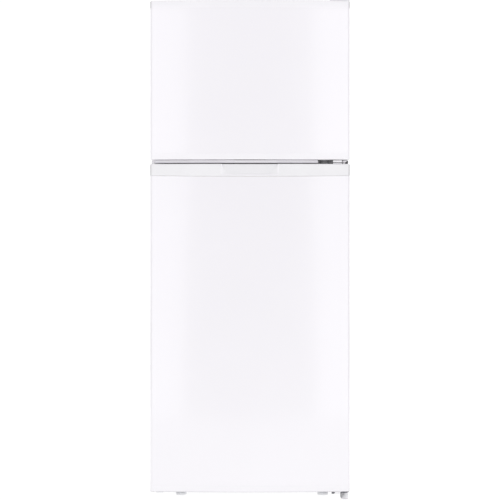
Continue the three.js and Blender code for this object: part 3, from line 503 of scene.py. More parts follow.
def bend_route(corners, radius):
    """A route with its corners rounded."""
    steps = 6
    corners = [Vector(corner) for corner in corners]
    route = [corners[0]]
    for before, corner, after in zip(corners, corners[1:], corners[2:]):
        arrive = corner + (before - corner).normalized() * radius
        leave = corner + (after - corner).normalized() * radius
        for i in range(steps + 1):
            t = i / steps
            route.append(arrive.lerp(corner, t).lerp(corner.lerp(leave, t), t))
    return route + [corners[-1]]


def carved(bm, tool):
    """The shape with the tool's shape cut out of it."""
    pair = []
    for shape in (bm, tool):
        weld(shape, 1e-4)
        pair.append(add_mesh("carving", shape))
    cut = pair[0].modifiers.new("cut", "BOOLEAN")
    cut.operation = "DIFFERENCE"
    cut.solver = "EXACT"
    cut.object = pair[1]
    bpy.context.view_layer.update()
    result = bmesh.new()
    result.from_mesh(pair[0].evaluated_get(bpy.context.evaluated_depsgraph_get()).to_mesh())
    for temporary in pair:
        bpy.data.objects.remove(temporary)
    return result


def refined(node, look, bevel, segments=2, body="cabinet"):
    """The CAD node's own shape with its flat faces joined and its real edges rounded."""
    bm = bmesh.new()
    bm.from_mesh(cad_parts[node].data)
    bmesh.ops.scale(bm, vec=(1 / MM, 1 / MM, 1 / MM), verts=bm.verts)
    bmesh.ops.remove_doubles(bm, verts=bm.verts, dist=1e-3)
    bmesh.ops.dissolve_limit(bm, angle_limit=math.radians(1), verts=bm.verts, edges=bm.edges)
    if bevel:
        real = math.radians(30)
        edges = [e for e in bm.edges if len(e.link_faces) == 2 and e.calc_face_angle(0) > real]
        bmesh.ops.bevel(bm, geom=edges, offset=bevel, segments=segments, profile=0.5,
                        affect="EDGES", clamp_overlap=True)
    add_piece(node + "_shape", bm, look, node, body)


def add_screws(name, places, axis, look="zinc", radius=4.0, outward=1):
    """Pan heads, each with a hollow in its middle, standing out along the axis."""
    height = 0.55 * radius * outward
    profile = [
        (0, 0.5 * height), (0.3 * radius, 0.45 * height), (0.38 * radius, 0.98 * height),
        (0.6 * radius, 0.92 * height), (0.85 * radius, 0.6 * height), (radius, 0.15 * height),
        (radius, -0.3 * outward), (0, -0.3 * outward),
    ]
    bm = bmesh.new()
    for place in places:
        add_lathe(bm, profile, place, 20, axis)
    add_piece(name, bm, look)


def add_tray(bm, low, high, wall, corner, draft, rim, foot):
    """An open tray with round corners. Its walls lean out by the draft and end in a rolled rim."""
    (x0, y0, z0), (x1, y1, z1) = low, high
    lean = rim + draft
    levels = [
        (lean + foot, z0), (lean + foot * 0.3, z0 + foot * 0.3), (lean, z0 + foot), (rim, z1 - 4),
        (0.4, z1 - 3.4), (0, z1 - 2.6), (0, z1 - 0.8), (0.8, z1), (rim + wall - 0.6, z1),
        (rim + wall, z1 - 0.6), (lean + wall, z0 + wall + foot),
        (lean + wall + foot * 0.3, z0 + wall + foot * 0.3), (lean + wall + foot, z0 + wall),
    ]
    loops = []
    for inset, z in levels:
        radius = max(corner - inset, 1)
        loops.append(at_z(rounded_rect((x0 + inset, y0 + inset), (x1 - inset, y1 - inset), radius), z))
    loft(bm, loops)


def add_frame(bm, low, high, profile, radius, steps=6):
    """A band round a rectangle in the XZ plane. Each profile point is (how far in, y)."""
    loops = []
    for i, (x, z) in enumerate(rounded_rect(low, high, radius, steps)):
        angle = math.radians(-90 + 90 * (i // (steps + 1)) + 90 * (i % (steps + 1)) / steps)
        across, up = polar(1, angle)
        loops.append([Vector((x - inward * across, y, z - inward * up)) for inward, y in profile])
    loft(bm, loops, ring=True)


# --- Door fronts ---

BOW = 12
CORNER = 8
SIDE = cad("fridge_door_skin")[1].x
FRONT = cad("fridge_door_skin")[0].y
DOOR_REAR = cad("fridge_door_skin")[1].y
BOW_RADIUS = (SIDE ** 2 + BOW ** 2) / (2 * BOW)
BOW_CENTRE = FRONT + BOW_RADIUS
HINGE_X = 284
HINGE_Y = -290
COLUMN = 12
BOW_END = 288
SOCKET_RADIUS = 3.9
SOCKET_DEPTH = 20
SKIRT = {"left": -290, "right": 205, "drop": 9, "setback": 7}
# Height of each door's lower edge, above its skirt where it has one
DOOR_FOOT = {
    "freezer_door": cad("freezer_door_bottom_cap")[0].z + SKIRT["drop"],
    "fridge_door": cad("fridge_door_bottom_cap")[0].z,
}
# The grip scoop: half its width at the front, at its back's top and at its back's foot, how far its
# edge lies in, its depth at foot and top, its height, and the width of its rim
GRIP = {
    "half": 86, "back": 83, "foot": 60, "lip": 2.2, "foot_depth": 2.5, "depth": 8, "height": 33,
    "rim": 3,
}
# Foot and head of the dike round each door's inside, above the door's lower edge
DIKE = {"freezer_door": (38, 399), "fridge_door": (62, 948)}
BINS = {
    "freezer_door": ["freezer_bin"],
    "fridge_door": ["fridge_bin_lower", "fridge_bin_middle", "fridge_bin_upper"],
}


def bow_y(x, inset=0.0):
    return BOW_CENTRE - math.sqrt((BOW_RADIUS - inset) ** 2 - x ** 2)


def bowed(start, end, inset=0.0):
    """Points on the bowed front, a column apart."""
    return [(x, bow_y(x, inset)) for x in range(start, end, COLUMN)]


def door_front(inset, front=None):
    """Plan of the sides and the bowed front, from the left rear round to the right rear. front takes
    the place of the bowed points between the corners."""
    side, bow, corner = SIDE - inset, BOW_RADIUS - inset, CORNER - inset
    x = side - corner
    y = BOW_CENTRE - math.sqrt((bow - corner) ** 2 - x ** 2)
    tilt = math.degrees(math.atan2(x, BOW_CENTRE - y))
    left = arc((-x, y), corner, 180, 270 - tilt, 6)
    right = arc((x, y), corner, 270 + tilt, 360, 6)
    return left + (front or bowed(-BOW_END, BOW_END + 1, inset)) + right


def dip(x):
    """How far a cap's edge hangs below its ends, from 0 at the ends to 1 in the middle."""
    return max(0.0, 1 - (x / SIDE) ** 2)


def add_skin(door, hem_edge, top_dip=0.0):
    """Front and sides in one bowed sheet, with rounded cut edges and a return at each rear edge.
    hem_edge is the (step, inset) points of its top edge."""
    low, high = cad(f"{door}_skin")
    sheet, hem, rear = 1.2, 288, DOOR_REAR
    inner = door_front(sheet)[::-1]
    inside = [(hem, rear - sheet), (SIDE - 2.5, rear - sheet)]
    loops = []
    for step, inset, top in [(0, 0.08, 0), (0.1, 0, 0)] + [(*edge, 1) for edge in hem_edge]:
        edge = SIDE - inset
        left = [(-hem, rear), (-edge + 1.5, rear), (-edge, rear - 1.5)]
        outline = left + door_front(inset) + mirrored(left) + inside + inner + mirrored(inside)
        loops.append([
            Vector((x, y, high.z - step - top_dip * dip(x) if top else low.z + step))
            for x, y in outline
        ])
    bm = lofted(loops)
    add_piece(f"{door}_front", bm, "enamel", f"{door}_skin", door)


def grip_columns(rise):
    """Front of the cap at one height, with the scoop's walls. rise is 0 at its foot and 1 on top."""
    bound = GRIP["foot"] + (GRIP["back"] - GRIP["foot"]) * rise
    back = FRONT + GRIP["foot_depth"] + (GRIP["depth"] - GRIP["foot_depth"]) * rise
    lip = Vector((-GRIP["half"] + GRIP["rim"], FRONT + GRIP["lip"]))
    corner = Vector((-bound, back))
    reach = min(2.5, (lip - corner).length * 0.4)
    before = corner + (lip - corner).normalized() * reach
    left = [
        (-GRIP["half"], bow_y(GRIP["half"])), tuple(lip), tuple(before),
        tuple(corner + Vector((0.35, -0.3)) * reach * 0.5), (-bound + reach, back),
    ]
    return left + [(x, back) for x in range(-56, 57, 14)] + mirrored(left)


def cap_columns(rise):
    """Columns of the fridge door's top cap. Without a rise they lie on the bowed surface."""
    scoop = grip_columns(rise or 0)
    if rise is None:
        scoop = [(x, bow_y(x)) for x, _ in scoop]
    outer = bowed(-BOW_END, -95)
    return outer + scoop + mirrored(outer)


def cap_loop(plan, z, inset, edge_dip=0.0, squeeze=0.0):
    """One level of an end cap. squeeze draws its two ends in."""
    side = SIDE - inset
    left = [(-side + 1, DOOR_REAR), (-side, DOOR_REAR - 1)]
    scale = (SIDE - squeeze) / SIDE
    return [Vector((x * scale, y, z - edge_dip * dip(x))) for x, y in left + plan + mirrored(left)]


def rounding(radius, side_radius):
    """(height below the edge, inset, squeeze) up a rounded edge."""
    levels = []
    for across, up in arc((0, 0), 1, 0, 90, 5):
        inset = radius * (1 - across)
        levels.append((radius * (1 - up), inset, side_radius * (1 - across) - inset))
    return levels


def add_sockets(tool, z, sides=(-1, 1)):
    """The hinge pins' sockets, to cut out of a cap."""
    for side in sides:
        add_rod(tool, SOCKET_RADIUS, 0, SOCKET_DEPTH, (side * HINGE_X, HINGE_Y, z), 24)


def finish_faces(piece, look, chosen):
    """Gives a piece's faces a second look where chosen says so."""
    piece.data.materials.append(LOOKS[look])
    for face in piece.data.polygons:
        if chosen(face.center / MM, face.normal):
            face.material_index = len(piece.data.materials) - 1


def painted_shade_ends(piece):
    """Gives a cap darker ends: painted shade where its rounded ends turn away from the light."""
    finish_faces(piece, "painted_shade_end_plastic", lambda place, _: abs(place.x) > SIDE - 1.6)


def fridge_top_cap():
    node = "fridge_door_top_cap"
    low, high = cad(node)
    sag = 3.0
    foot = high.z - GRIP["height"]
    loops = []
    for step, inset in ((0, 0.8), (0.3, 0.25), (0.9, 0)):
        plan = door_front(inset, [(x, y + inset) for x, y in cap_columns(None)])
        loops.append(cap_loop(plan, low.z + step, inset, sag))
    loops.append(cap_loop(door_front(0, cap_columns(None)), foot - 0.9, 0))
    top = high.z - 3
    ledge = foot + GRIP["rim"] - 1
    levels = [(ledge + (top - ledge) * i / 8, 0) for i in range(9)]
    levels += [(high.z - below, inset) for below, inset, _ in rounding(3, 3)[1:]]
    for z, inset in levels:
        rise = min(1.0, (z - foot) / GRIP["height"])
        plan = [(x, y + inset) for x, y in cap_columns(rise)]
        loops.append(cap_loop(door_front(inset, plan), z, inset))
    bm = lofted(loops)
    tool = bmesh.new()
    behind = FRONT + GRIP["depth"] + 8
    add_box(tool, (-56, behind, high.z - 22), (56, behind + 16, high.z + 5), 4, 3)
    add_sockets(tool, high.z - 15)
    cap = add_piece("fridge_top_cap", carved(bm, tool), "cap_plastic", node, "fridge_door")

    def painted_highlight_rim(place, normal):
        """True on the bevel round the scoop, which gets the glossy enamel: real gloss, and a lighter colour
        than the cap as a painted highlight.
        """
        half, rim = GRIP["half"], GRIP["rim"]
        on_side = abs(abs(place.x) - half + rim / 2) < rim and abs(normal.x) > 0.15
        on_foot = abs(place.x) < half and place.z < foot + rim and normal.z > 0.25
        return foot - 1 < place.z < top and place.y < FRONT + 4 and (on_side or on_foot)

    # the cap's ends get a darker plastic: painted shade
    painted_shade_ends(cap)
    # the scoop's rim gets enamel lighter than the cap: a painted highlight, with real gloss
    finish_faces(cap, "enamel", painted_highlight_rim)


def plain_cap(door, end, radius, side_radius, tool=None, drip=False):
    """An end cap with one rounded edge, at its top or its bottom, and a socket near each end. drip
    gives it a fine drip groove just inside that edge."""
    node = f"{door}_{end}_cap"
    low, high = cad(node)
    up = end == "top"
    # the cap closes up on the front sheet
    seam, edge, sign = (low.z - 0.28, high.z, 1) if up else (high.z + 0.28, DOOR_FOOT[door], -1)
    loops = [cap_loop(door_front(inset), seam + sign * step, inset) for step, inset in ((0, 0.08), (0.1, 0))]
    levels = [(1.3, 0, 0), (1.2, 2, 0), (0.5, 2, 0), (0.4, 0, 0)] if drip else []
    for below, inset, squeeze in levels + rounding(radius, side_radius):
        loops.append(cap_loop(door_front(inset), edge - sign * below, inset, 0, squeeze))
    bm = lofted(loops)
    tool = tool or bmesh.new()
    add_sockets(tool, edge - 15 if up else edge - 5)
    return add_piece(node.replace("_door", ""), carved(bm, tool), "cap_gloss", node, door)


def finger_hollow(foot):
    tool = bmesh.new()
    add_box(tool, (-50, FRONT + 11, foot - 20), (50, DOOR_REAR - 20, foot + 12), 5, 3)
    return tool


def door_skirt():
    """The skirt under the freezer door, which narrows the gap between the doors."""
    foot, left, right = DOOR_FOOT["freezer_door"], SKIRT["left"], SKIRT["right"]
    low, rear = foot - SKIRT["drop"] - 0.8, DOOR_REAR - 2.5
    loops = []
    for z, inset in (
        (low, 0.8), (low + 0.25, 0.25), (low + 0.8, 0), (foot - 2.2, 0), (foot - 1.8, 0.4),
        (foot - 1.8, 5), (foot + 1, 5),
    ):
        y = SKIRT["setback"] + inset
        outline = [(left + inset, bow_y(left) + y + 3), (left + 3, bow_y(left) + y)]
        outline += [(x, bow + y) for x, bow in bowed(left + 10, right - 5)]
        outline += [(right - 1.5, bow_y(right) + y), (right - inset, bow_y(right) + y + 1.5)]
        loops.append(at_z(outline + [(right - inset, rear), (left + inset, rear)], z))
    bm = lofted(loops)
    tool = finger_hollow(foot)
    add_sockets(tool, low - 5, (-1,))
    add_piece("freezer_door_skirt", carved(bm, tool), "skirt_plastic", None, "freezer_door")


def freezer_top_plug():
    """Round plug in an unused hinge socket, with a coin slot."""
    z = cad("freezer_door_top_cap")[1].z
    bm = bmesh.new()
    profile = [(0, 1.4), (4.6, 1.4), (5.6, 0.9), (6, 0.2), (6, 0), (3.7, 0), (3.7, -9), (0, -9)]
    add_lathe(bm, profile, (-HINGE_X, HINGE_Y, z), 28)
    tool = bmesh.new()
    add_box(tool, (-HINGE_X - 4, HINGE_Y - 0.6, z - 0.3), (-HINGE_X + 4, HINGE_Y + 0.6, z + 3.3), 0.2, 1)
    add_piece("freezer_top_plug", carved(bm, tool), "cap_plastic", None, "freezer_door")


def add_gasket(door):
    """Soft bellows with a magnet tube along its face and mitred corners."""
    node = f"{door}_gasket"
    low, high = cad(node)
    y0, y1 = low.y, high.y
    side = [(0.0, 0.0), (0.4, 0.10), (2.6, 0.20), (3.4, 0.32), (1.0, 0.48), (0.2, 0.60), (0.0, 0.86)]
    outer = [(w, y0 + (y1 - y0) * share) for w, share in side]
    face = [(0.8, y1 - 0.5), (2.0, y1), (6.2, y1), (7.2, y1 - 0.9), (8.8, y1 - 0.9), (9.8, y1)]
    face += [(14.0, y1), (15.2, y1 - 0.5)]
    bm = bmesh.new()
    profile = outer + face + [(16 - w, y) for w, y in outer[::-1]]
    add_frame(bm, (low.x, low.z), (high.x, high.z), profile, 3, 2)
    add_piece(f"{door}_bellows", bm, "gasket", node, door, smooth=60)


def add_door_liner(door):
    """Thermoformed inner panel: a flat rim, a tall rounded dike and a shallow panel inside it."""
    node = f"{door}_liner"
    low, high = cad(node)
    rear = high.y
    face = cad(f"{door}_gasket")[0].y - 0.4
    bm = bmesh.new()
    add_box(bm, (low.x, low.y, low.z), (high.x, face, high.z), 0.7, 2)
    half = [(-5.0, face - 0.5), (-2.0, face + 0.4), (-0.4, face + 2.0), (0.6, rear - 7)]
    half += [(2.0, rear - 3), (4.6, rear - 0.8), (8.0, rear)]
    dike = half + [(30 - inward, y) for inward, y in half[::-1]]
    panel = [(0, face - 0.5), (0.6, face + 0.7), (3, face + 1.1), (9, face + 1.1), (12, face - 0.5)]
    foot, head = [DOOR_FOOT[door] + z for z in DIKE[door]]
    add_frame(bm, (-236, foot), (236, head), dike, 40, 8)
    add_frame(bm, (-186, foot + 50), (186, head - 50), panel, 24, 6)
    for bin_node in BINS[door]:
        bin_low, bin_high = cad(bin_node)
        y, top = bin_low.y, bin_high.z - 30.6
        add_pair(bm, 199.5, 207.5, (y + 4, y + 16), (top - 20, top), 2, 3)
        add_pair(bm, 199.5, 207.5, (y + 1, y + 24), (bin_low.z + 6, bin_low.z + 9), 1, 2)
    add_piece(f"{door}_inner_panel", bm, "liner", node, door)


def add_door_foam(door):
    """Rigid foam that fills the door between its front sheet and its inner panel."""
    low, high = cad(f"{door}_foam")
    hem, rear = 287.5, DOOR_REAR
    loops = []
    for z, inset in ((low.z, 3.5), (low.z + 1.5, 2), (high.z - 1.5, 2), (high.z, 3.5)):
        left = [(-hem, rear), (-hem, rear - 1.5), (inset - SIDE, rear - 1.5)]
        loops.append(at_z(left + door_front(inset) + mirrored(left), z))
    bm = lofted(loops)
    add_piece(f"{door}_foam_fill", bm, "foam", f"{door}_foam", door)


def add_door_bin(node):
    """Clear bin with a rolled rim, a band of ribs along its front and a hook at each end."""
    low, high = cad(node)
    half, inner = 198, high.y
    bm = bmesh.new()
    add_tray(bm, (-half, low.y, low.z), (half, inner, high.z), 2.5, 14, 2.5, 1.5, 5)
    add_ribs(bm, half - 18, (inner - 3.2, inner - 1.2), low.z + 16, 7, 2.4)
    add_pair(bm, half - 1.8, high.x, (low.y + 4, low.y + 16), (high.z - 30, high.z - 15), 1.6, 2)
    add_piece(f"{node}_shape", bm, "clear_plastic", node, node)


def add_ribs(bm, half, y, foot, pitch, height):
    """Three ribs across the front of a bin."""
    for i in range(3):
        z = foot + i * pitch
        add_box(bm, (-half, y[0], z), (half, y[1], z + height), 0.9, 2)


def add_doors():
    add_skin("freezer_door", [(0.1, 0), (0, 0.08)])
    add_skin("fridge_door", [(0.7, 0), (0.2, 0.15), (0, 0.55)], 3.0)
    fridge_top_cap()
    plain_cap("freezer_door", "bottom", 3, 8, finger_hollow(DOOR_FOOT["freezer_door"]))
    door_skirt()
    # the freezer top cap's ends get the darker plastic too: painted shade
    painted_shade_ends(plain_cap("freezer_door", "top", 3, 3))
    plain_cap("fridge_door", "bottom", 0.3, 0.3, drip=True)
    freezer_top_plug()
    for door, bins in BINS.items():
        add_gasket(door)
        add_door_liner(door)
        add_door_foam(door)
        for node in bins:
            add_door_bin(node)


# --- Cabinet ---

def cabinet_shell():
    """One bent sheet: sides and top, with rounded bends and a flange turned in along the front."""
    low, high = cad("cabinet_shell")
    flange = (cad("fridge_liner")[1].x + 0.3, cad("freezer_liner")[1].z + 0.3)

    def hoop(x, top, radius):
        right = [(x, low.z)] + arc((x - radius, top - radius), radius, 0, 90, 6)
        return right + mirrored(right)

    loops = []
    for y, inset, flanged in (
        (low.y, 1.8, True), (low.y + 0.3, 0.9, True), (low.y + 0.9, 0.3, True),
        (low.y + 1.5, 0.1, True), (low.y + 1.5, 0.1, False), (low.y + 2.4, 0, False),
        (high.y, 0, False),
    ):
        outer = hoop(high.x - inset, high.z - inset, 6 - inset)
        inner = hoop(*flange, 3) if flanged else hoop(high.x - 1.5, high.z - 1.5, 4.5)
        loops.append(at_y(outer + inner[::-1], y))
    bm = lofted(loops)
    add_piece("cabinet_wrap", bm, "enamel", "cabinet_shell")


def back_panel():
    """Thin galvanised sheet with pressed beads, folded edges and rivets."""
    low, high = cad("back_panel")
    face = high.y - 0.9
    bm = bmesh.new()
    add_box(bm, (low.x, low.y, low.z), (high.x, face, high.z), 0.3, 1)
    slope = [(0, face - 0.3), (1.5, face + 0.45)]
    bead = slope + [(4, high.y), (7, high.y)] + [(11 - inward, y) for inward, y in slope[::-1]]
    rib = slope + [(4, high.y - 0.1), (7.9, high.y - 0.1), (7.9, face - 0.3)]
    for foot in (300, 700, 1100):
        head = foot + 360
        add_frame(bm, (-245, foot), (245, head), bead, 30)
        for x in (-150, 0, 150):
            add_frame(bm, (x - 8, foot + 40), (x + 8, head - 40), rib, 8, 4)
    add_pair(bm, high.x - 14, high.x, (face - 0.2, face + 0.5), (low.z + 2, high.z - 2), 0.25, 1)
    add_piece("back_sheet", bm, "back_sheet", "back_panel")
    places = [(x, z) for x in (-291, 291) for z in (275, 480, 690, 900, 1110, 1320, 1490)]
    places += [(x, 1492) for x in (-180, -60, 60, 180)]
    rivet = [(0, 0.3), (1.4, 0.25), (1.6, 0.55), (3.2, 0.3), (3.8, -0.2), (0, -0.2)]
    bm = bmesh.new()
    for place in at_y(places, face + 0.3):
        add_lathe(bm, rivet, place, 16, "Y")
    add_piece("back_rivets", bm, "zinc")


def room(name, node, front, sections, ledges):
    """Thermoformed room: rounded corners, walls of one thickness, and ledges along its sides.
    Each section is (y, low z, high z); the room keeps its width."""
    wall = 2.0
    half = cad(node)[1].x - wall

    def outline(y, z0, z1, grow, radius):
        return at_y(rounded_rect((-half - grow, z0 - grow), (half + grow, z1 + grow), radius, 6), y)

    first_y, foot, head = sections[0]
    last_y, z0, z1 = sections[-1]
    inner = [outline(*section, 0, 14) for section in sections]
    inner.append(outline(last_y + 6, z0 + 1.5, z1 - 1.5, -1.5, 14))
    inner.append(outline(last_y + 9, z0 + 6, z1 - 6, -6, 12))
    lip = [outline(front, foot - 1.2, head + 1.2, 1.2, 14)]
    rim = [outline(y, foot, head, wall, 2) for y in (front, first_y)]
    outer = [outline(first_y + 2, foot, head, wall, 16)]
    outer += [outline(*section, wall, 16) for section in sections[1:]]
    outer.append(outline(last_y + 11, z0 + 1, z1 - 1, wall - 1, 14))
    bm = lofted(inner[::-1] + lip + rim + outer)
    for z, *y in ledges:
        add_pair(bm, half - 8, half + 1, y, (z - 6, z), 2, 3)
        add_pair(bm, half - 3, half + 1, y, (z + 7, z + 9), 0.9, 3)
    add_piece(name, bm, "liner", node)


def rooms():
    low, high = cad("fridge_liner")
    front, back, ceiling = low.y, high.y - 11, high.z - 2
    drawer_low, drawer_high = cad("crisper_drawer")
    floor, step = drawer_low.z - 1, drawer_high.y + 6
    step_top = cad("base_plate")[1].z + 38.5
    shelves = [cad(n)[0].z - 0.3 for n in ("crisper_glass", "shelf_glass_lower", "shelf_glass_upper")]
    sections = [
        (front + 2, floor, ceiling), (step - 3, floor, ceiling), (step, floor + 2, ceiling),
        (step + 1, step_top - 5, ceiling), (step + 5, step_top, ceiling), (back, step_top, ceiling),
    ]
    room("fridge_room", "fridge_liner", front, sections, [(z, -130, 230) for z in shelves])
    low, high = cad("freezer_liner")
    sections = [(y, low.z + 2, high.z - 2) for y in (front + 2, high.y - 11)]
    shelf = cad("freezer_shelf")[0].z - 0.3
    room("freezer_room", "freezer_liner", front, sections, [(shelf, -130, 190)])


def centre_rail():
    """Painted channel between the rooms, with a black rubber strip in a groove along its face, standing in
    for the shadow in the gap between the doors: painted shade.
    """
    low, high = cad("centre_rail")
    groove, wall = (1019.3, 1023.2), 2
    face, deep, back = low.y, low.y + 3.4, high.y
    outline = [
        (back, low.z), (face + 1.2, low.z), (face + 0.4, low.z + 0.4), (face, low.z + 1.2),
        (face, groove[0] - 0.6), (face + 0.6, groove[0]), (deep, groove[0]),
        (deep, groove[1]), (face + 0.6, groove[1]), (face, groove[1] + 0.6),
        (face, high.z - 1.2), (face + 0.4, high.z - 0.4), (face + 1.2, high.z), (back, high.z),
        (back, high.z - wall), (deep + wall, high.z - wall), (deep + wall, low.z + wall),
        (back, low.z + wall),
    ]
    bm = lofted([[Vector((x, y, z)) for y, z in outline] for x in (low.x, high.x)])
    add_piece("centre_rail_face", bm, "enamel", "centre_rail")
    # black strip in the rail's groove: painted shadow for the gap between the doors
    bm = bmesh.new()
    add_box(bm, (low.x + 1, face + 1.0, groove[0] + 0.2), (high.x - 1, face + 3.3, groove[1] - 0.2), 0.6)
    add_piece("rail_painted_shadow_strip", bm, "rubber")


def lower_rail():
    """Painted strip across the foot of the cabinet's front."""
    half, foot, head = 252, 34, 78
    face = cad("cabinet_shell")[0].y
    bm = bmesh.new()
    add_box(bm, (-half, face - 0.5, foot), (half, face + 1.8, head), 0.6, 3)
    add_piece("lower_rail", bm, "enamel")


def machine_bay():
    for node, look, bevel in (
        ("base_plate", "zinc", 0.3), ("compressor_tray", "zinc", 0.3), ("rear_cover", "dark_plastic", 0.5),
        ("cord_gland", "dark_plastic", 0.9), ("condenser", "copper", 0), ("defrost_heater", "aluminium", 0),
        ("fan_motor", "black_steel", 0.5), ("freezer_back_cover", "liner", 0.6),
    ):
        refined(node, look, bevel)
    x, y, base = middle("compressor")[0], cad("drain_pan")[0].y + 70, cad("compressor")[0].z + 18
    compressor_pot(x, y, base)
    compressor_mounts(x, y, base)
    refrigerant_tubes(x, y, base)
    bm = bmesh.new()
    add_tray(bm, *cad("drain_pan"), 2, 10, 1, 1.5, 3)
    add_piece("melt_water_pan", bm, "grey_plastic", "drain_pan")
    face = cad("rear_cover")[1].y
    places = [(x, z) for x in (-285, 285) for z in (50, 145, 245)] + [(0, 247)]
    add_screws("cover_screws", at_y(places, face), "Y")
    evaporator()


POT_RADIUS = 74


def compressor_pot(x, y, base):
    """Drawn steel pot with a welded seam, a foot plate and a terminal box."""
    wall = [
        (0, 0), (0.6, 0), (0.8, 3), (0.9, 9), (0.93, 16), (0.935, 68), (0.95, 71), (0.99, 72.5),
        (1, 74.5), (1, 77), (0.98, 79.5), (0.93, 80.5),
    ]
    dome, rise = 0.92 * POT_RADIUS, 38
    shoulder = cad("compressor")[1].z - rise
    profile = [(POT_RADIUS * share, base + height) for share, height in wall]
    profile += [(dome * across, shoulder + rise * up) for across, up in arc((0, 0), 1, 0, 90, 8)]
    bm = bmesh.new()
    add_lathe(bm, profile, (x, y, 0), 56)
    add_box(bm, (x - 98, y - 54, base - 2), (x + 98, y + 54, base + 2), 1.5)
    add_box(bm, (x + POT_RADIUS * 0.85, y - 26, base + 18), (x + 96, y + 26, base + 64), 4, 3)
    add_piece("compressor_pot", bm, "black_steel", "compressor")


def compressor_mounts(x, y, base):
    """A rubber grommet and a bolt at each corner of the foot plate."""
    foot = cad("compressor")[0].z
    grommet = [
        (0, foot), (10, foot), (11, foot + 2), (11, foot + 7), (8.5, foot + 9), (8.5, foot + 13),
        (11, foot + 15), (11, base + 6), (9.5, base + 8), (0, base + 8),
    ]
    bolt = [(0, 13), (4, 13), (5, 12), (5, 9), (8, 9), (8, 7.5), (0, 7.5)]
    rubbers, bolts = bmesh.new(), bmesh.new()
    for a in (-1, 1):
        for b in (-1, 1):
            spot = (x + a * 84, y + b * 42)
            add_lathe(rubbers, grommet, (*spot, 0), 24)
            add_lathe(bolts, bolt, (*spot, base), 18)
    add_piece("compressor_grommets", rubbers, "rubber")
    add_piece("compressor_bolts", bolts, "zinc")


def refrigerant_tubes(x, y, base):
    """Soldered tubes from the pot up to the base plate, and the drier with its own two."""
    bm = bmesh.new()
    near, top = x - POT_RADIUS - 18, 262
    for reach, height, offset in ((46, 92, -30), (60, 78, 10), (52, 104, 34)):
        out, deep, high = x - POT_RADIUS - reach - 10, y + offset, base + height
        route = [
            (x - POT_RADIUS * 0.8, deep, high - 40), (near, deep, high - 40), (near, deep, high),
            (out, deep, high), (out, deep - 20, high), (out, deep - 20, top),
        ]
        add_tube(bm, bend_route(route, 8), 3.0, 12)
    x, y = -255, 200
    drier = [(0, 100), (3, 100), (3, 108), (9, 116), (9, 190), (3, 198), (3, 208), (0, 208)]
    add_lathe(bm, drier, (x, y, 0), 28)
    route = [(x, y, 104), (x, y, 80), (x, y + 50, 80), (x, y + 50, top)]
    add_tube(bm, bend_route(route, 10), 2.6, 12)
    add_tube(bm, [(x, y, 204), (x, y, top)], 1.8, 10)
    add_piece("refrigerant_tubes", bm, "copper")


def evaporator():
    """Round coil with return bends and a stack of thin fins."""
    low, high = cad("evaporator")
    rows, pitch, half, fins = 5, 36, 196, 45
    y = middle("evaporator")[1]
    route = []
    for row in range(rows):
        start = half if row % 2 else -half
        route += [(x, y, low.z + 16 + row * pitch) for x in (start, -start)]
    bm = bmesh.new()
    add_tube(bm, bend_route(route, 16), 4, 12)
    for i in range(fins):
        x = (i - fins // 2) * 8
        add_block(bm, (x - 0.2, low.y, low.z), (x + 0.2, high.y, high.z))
    add_piece("evaporator_coil", bm, "aluminium", "evaporator")


# --- Inside the rooms ---

def wire_shelf():
    z = middle("freezer_shelf")[2]
    low, high = cad("freezer_shelf")
    x0, x1, y0, y1 = low.x + 2.5, high.x - 2.5, low.y + 2.5, high.y - 2.5
    bm = bmesh.new()
    add_tube(bm, at_z(rounded_rect((x0, y0), (x1, y1), 9), z), 2.45, closed=True)
    for i in range(1, 30):
        x = x0 + (x1 - x0) * i / 30
        add_tube(bm, [(x, y0, z + 0.9), (x, y1, z + 0.9)], 1.3, 8)
    for y in (-60, 22, 110):
        add_tube(bm, [(x0, y, z - 0.9), (x1, y, z - 0.9)], 1.6, 8)
    add_piece("wire_shelf", bm, "wire_coat", "freezer_shelf")


def ice_tray():
    low, high = cad("ice_bin")
    bm = bmesh.new()
    add_tray(bm, low, high, 2.5, 14, 4, 1.5, 4)
    add_box(bm, (-40, low.y + 2, high.z - 22), (40, low.y + 5.5, high.z - 12), 1.5, 3)
    add_piece("ice_tray", bm, "clear_plastic", "ice_bin")


def crisper_drawer():
    node = "crisper_drawer"
    low, high = cad(node)
    bm = bmesh.new()
    front, handle = low.y + 10, 90
    add_tray(bm, (low.x, front, low.z), high, 2.5, 12, 2.5, 1.5, 4)
    add_box(bm, (-handle, low.y, high.z - 8), (handle, front + 3, high.z - 3), 2, 3)
    add_box(bm, (-handle, low.y, high.z - 18), (handle, low.y + 2.5, high.z - 4), 1)
    add_ribs(bm, high.x - 22, (front + 2.2, front + 4.4), low.z + 24, 8, 2.6)
    add_piece("crisper_box", bm, "clear_plastic", node, node)


def lamp():
    """A ribbed lens that opens upwards, and the bulb over it."""
    low, high = cad("lamp_lens")
    bm = bmesh.new()
    add_tray(bm, (low.x, low.y, -high.z), (high.x, high.y, -low.z), 1.6, 8, 1, 0.5, 3)
    for vert in bm.verts:
        vert.co.z = -vert.co.z
    for i in range(9):
        x = low.x + 9 + i * 9
        add_box(bm, (x, low.y + 6, low.z), (x + 3, high.y - 6, low.z + 1.4), 0.6)
    add_piece("lamp_cover", bm, "frosted", "lamp_lens")
    bulb = [(0, 0), (7, 0), (7, 14), (9, 18), (12, 26), (12.5, 34), (10.5, 42), (6, 47), (0, 49)]
    bm = bmesh.new()
    add_lathe(bm, bulb, (-92, -150, high.z + 14), 28, "X")
    add_piece("lamp_bulb", bm, "frosted")


def housing_ribs():
    """Ribs across the vent in the control housing's front."""
    low = cad("control_housing")[0]
    bm = bmesh.new()
    for i in range(7):
        z = low.z + 8 + i * 4.5
        add_box(bm, (-110, low.y - 0.9, z), (-30, low.y + 1, z + 2), 0.8)
    add_piece("housing_ribs", bm, "cap_plastic")


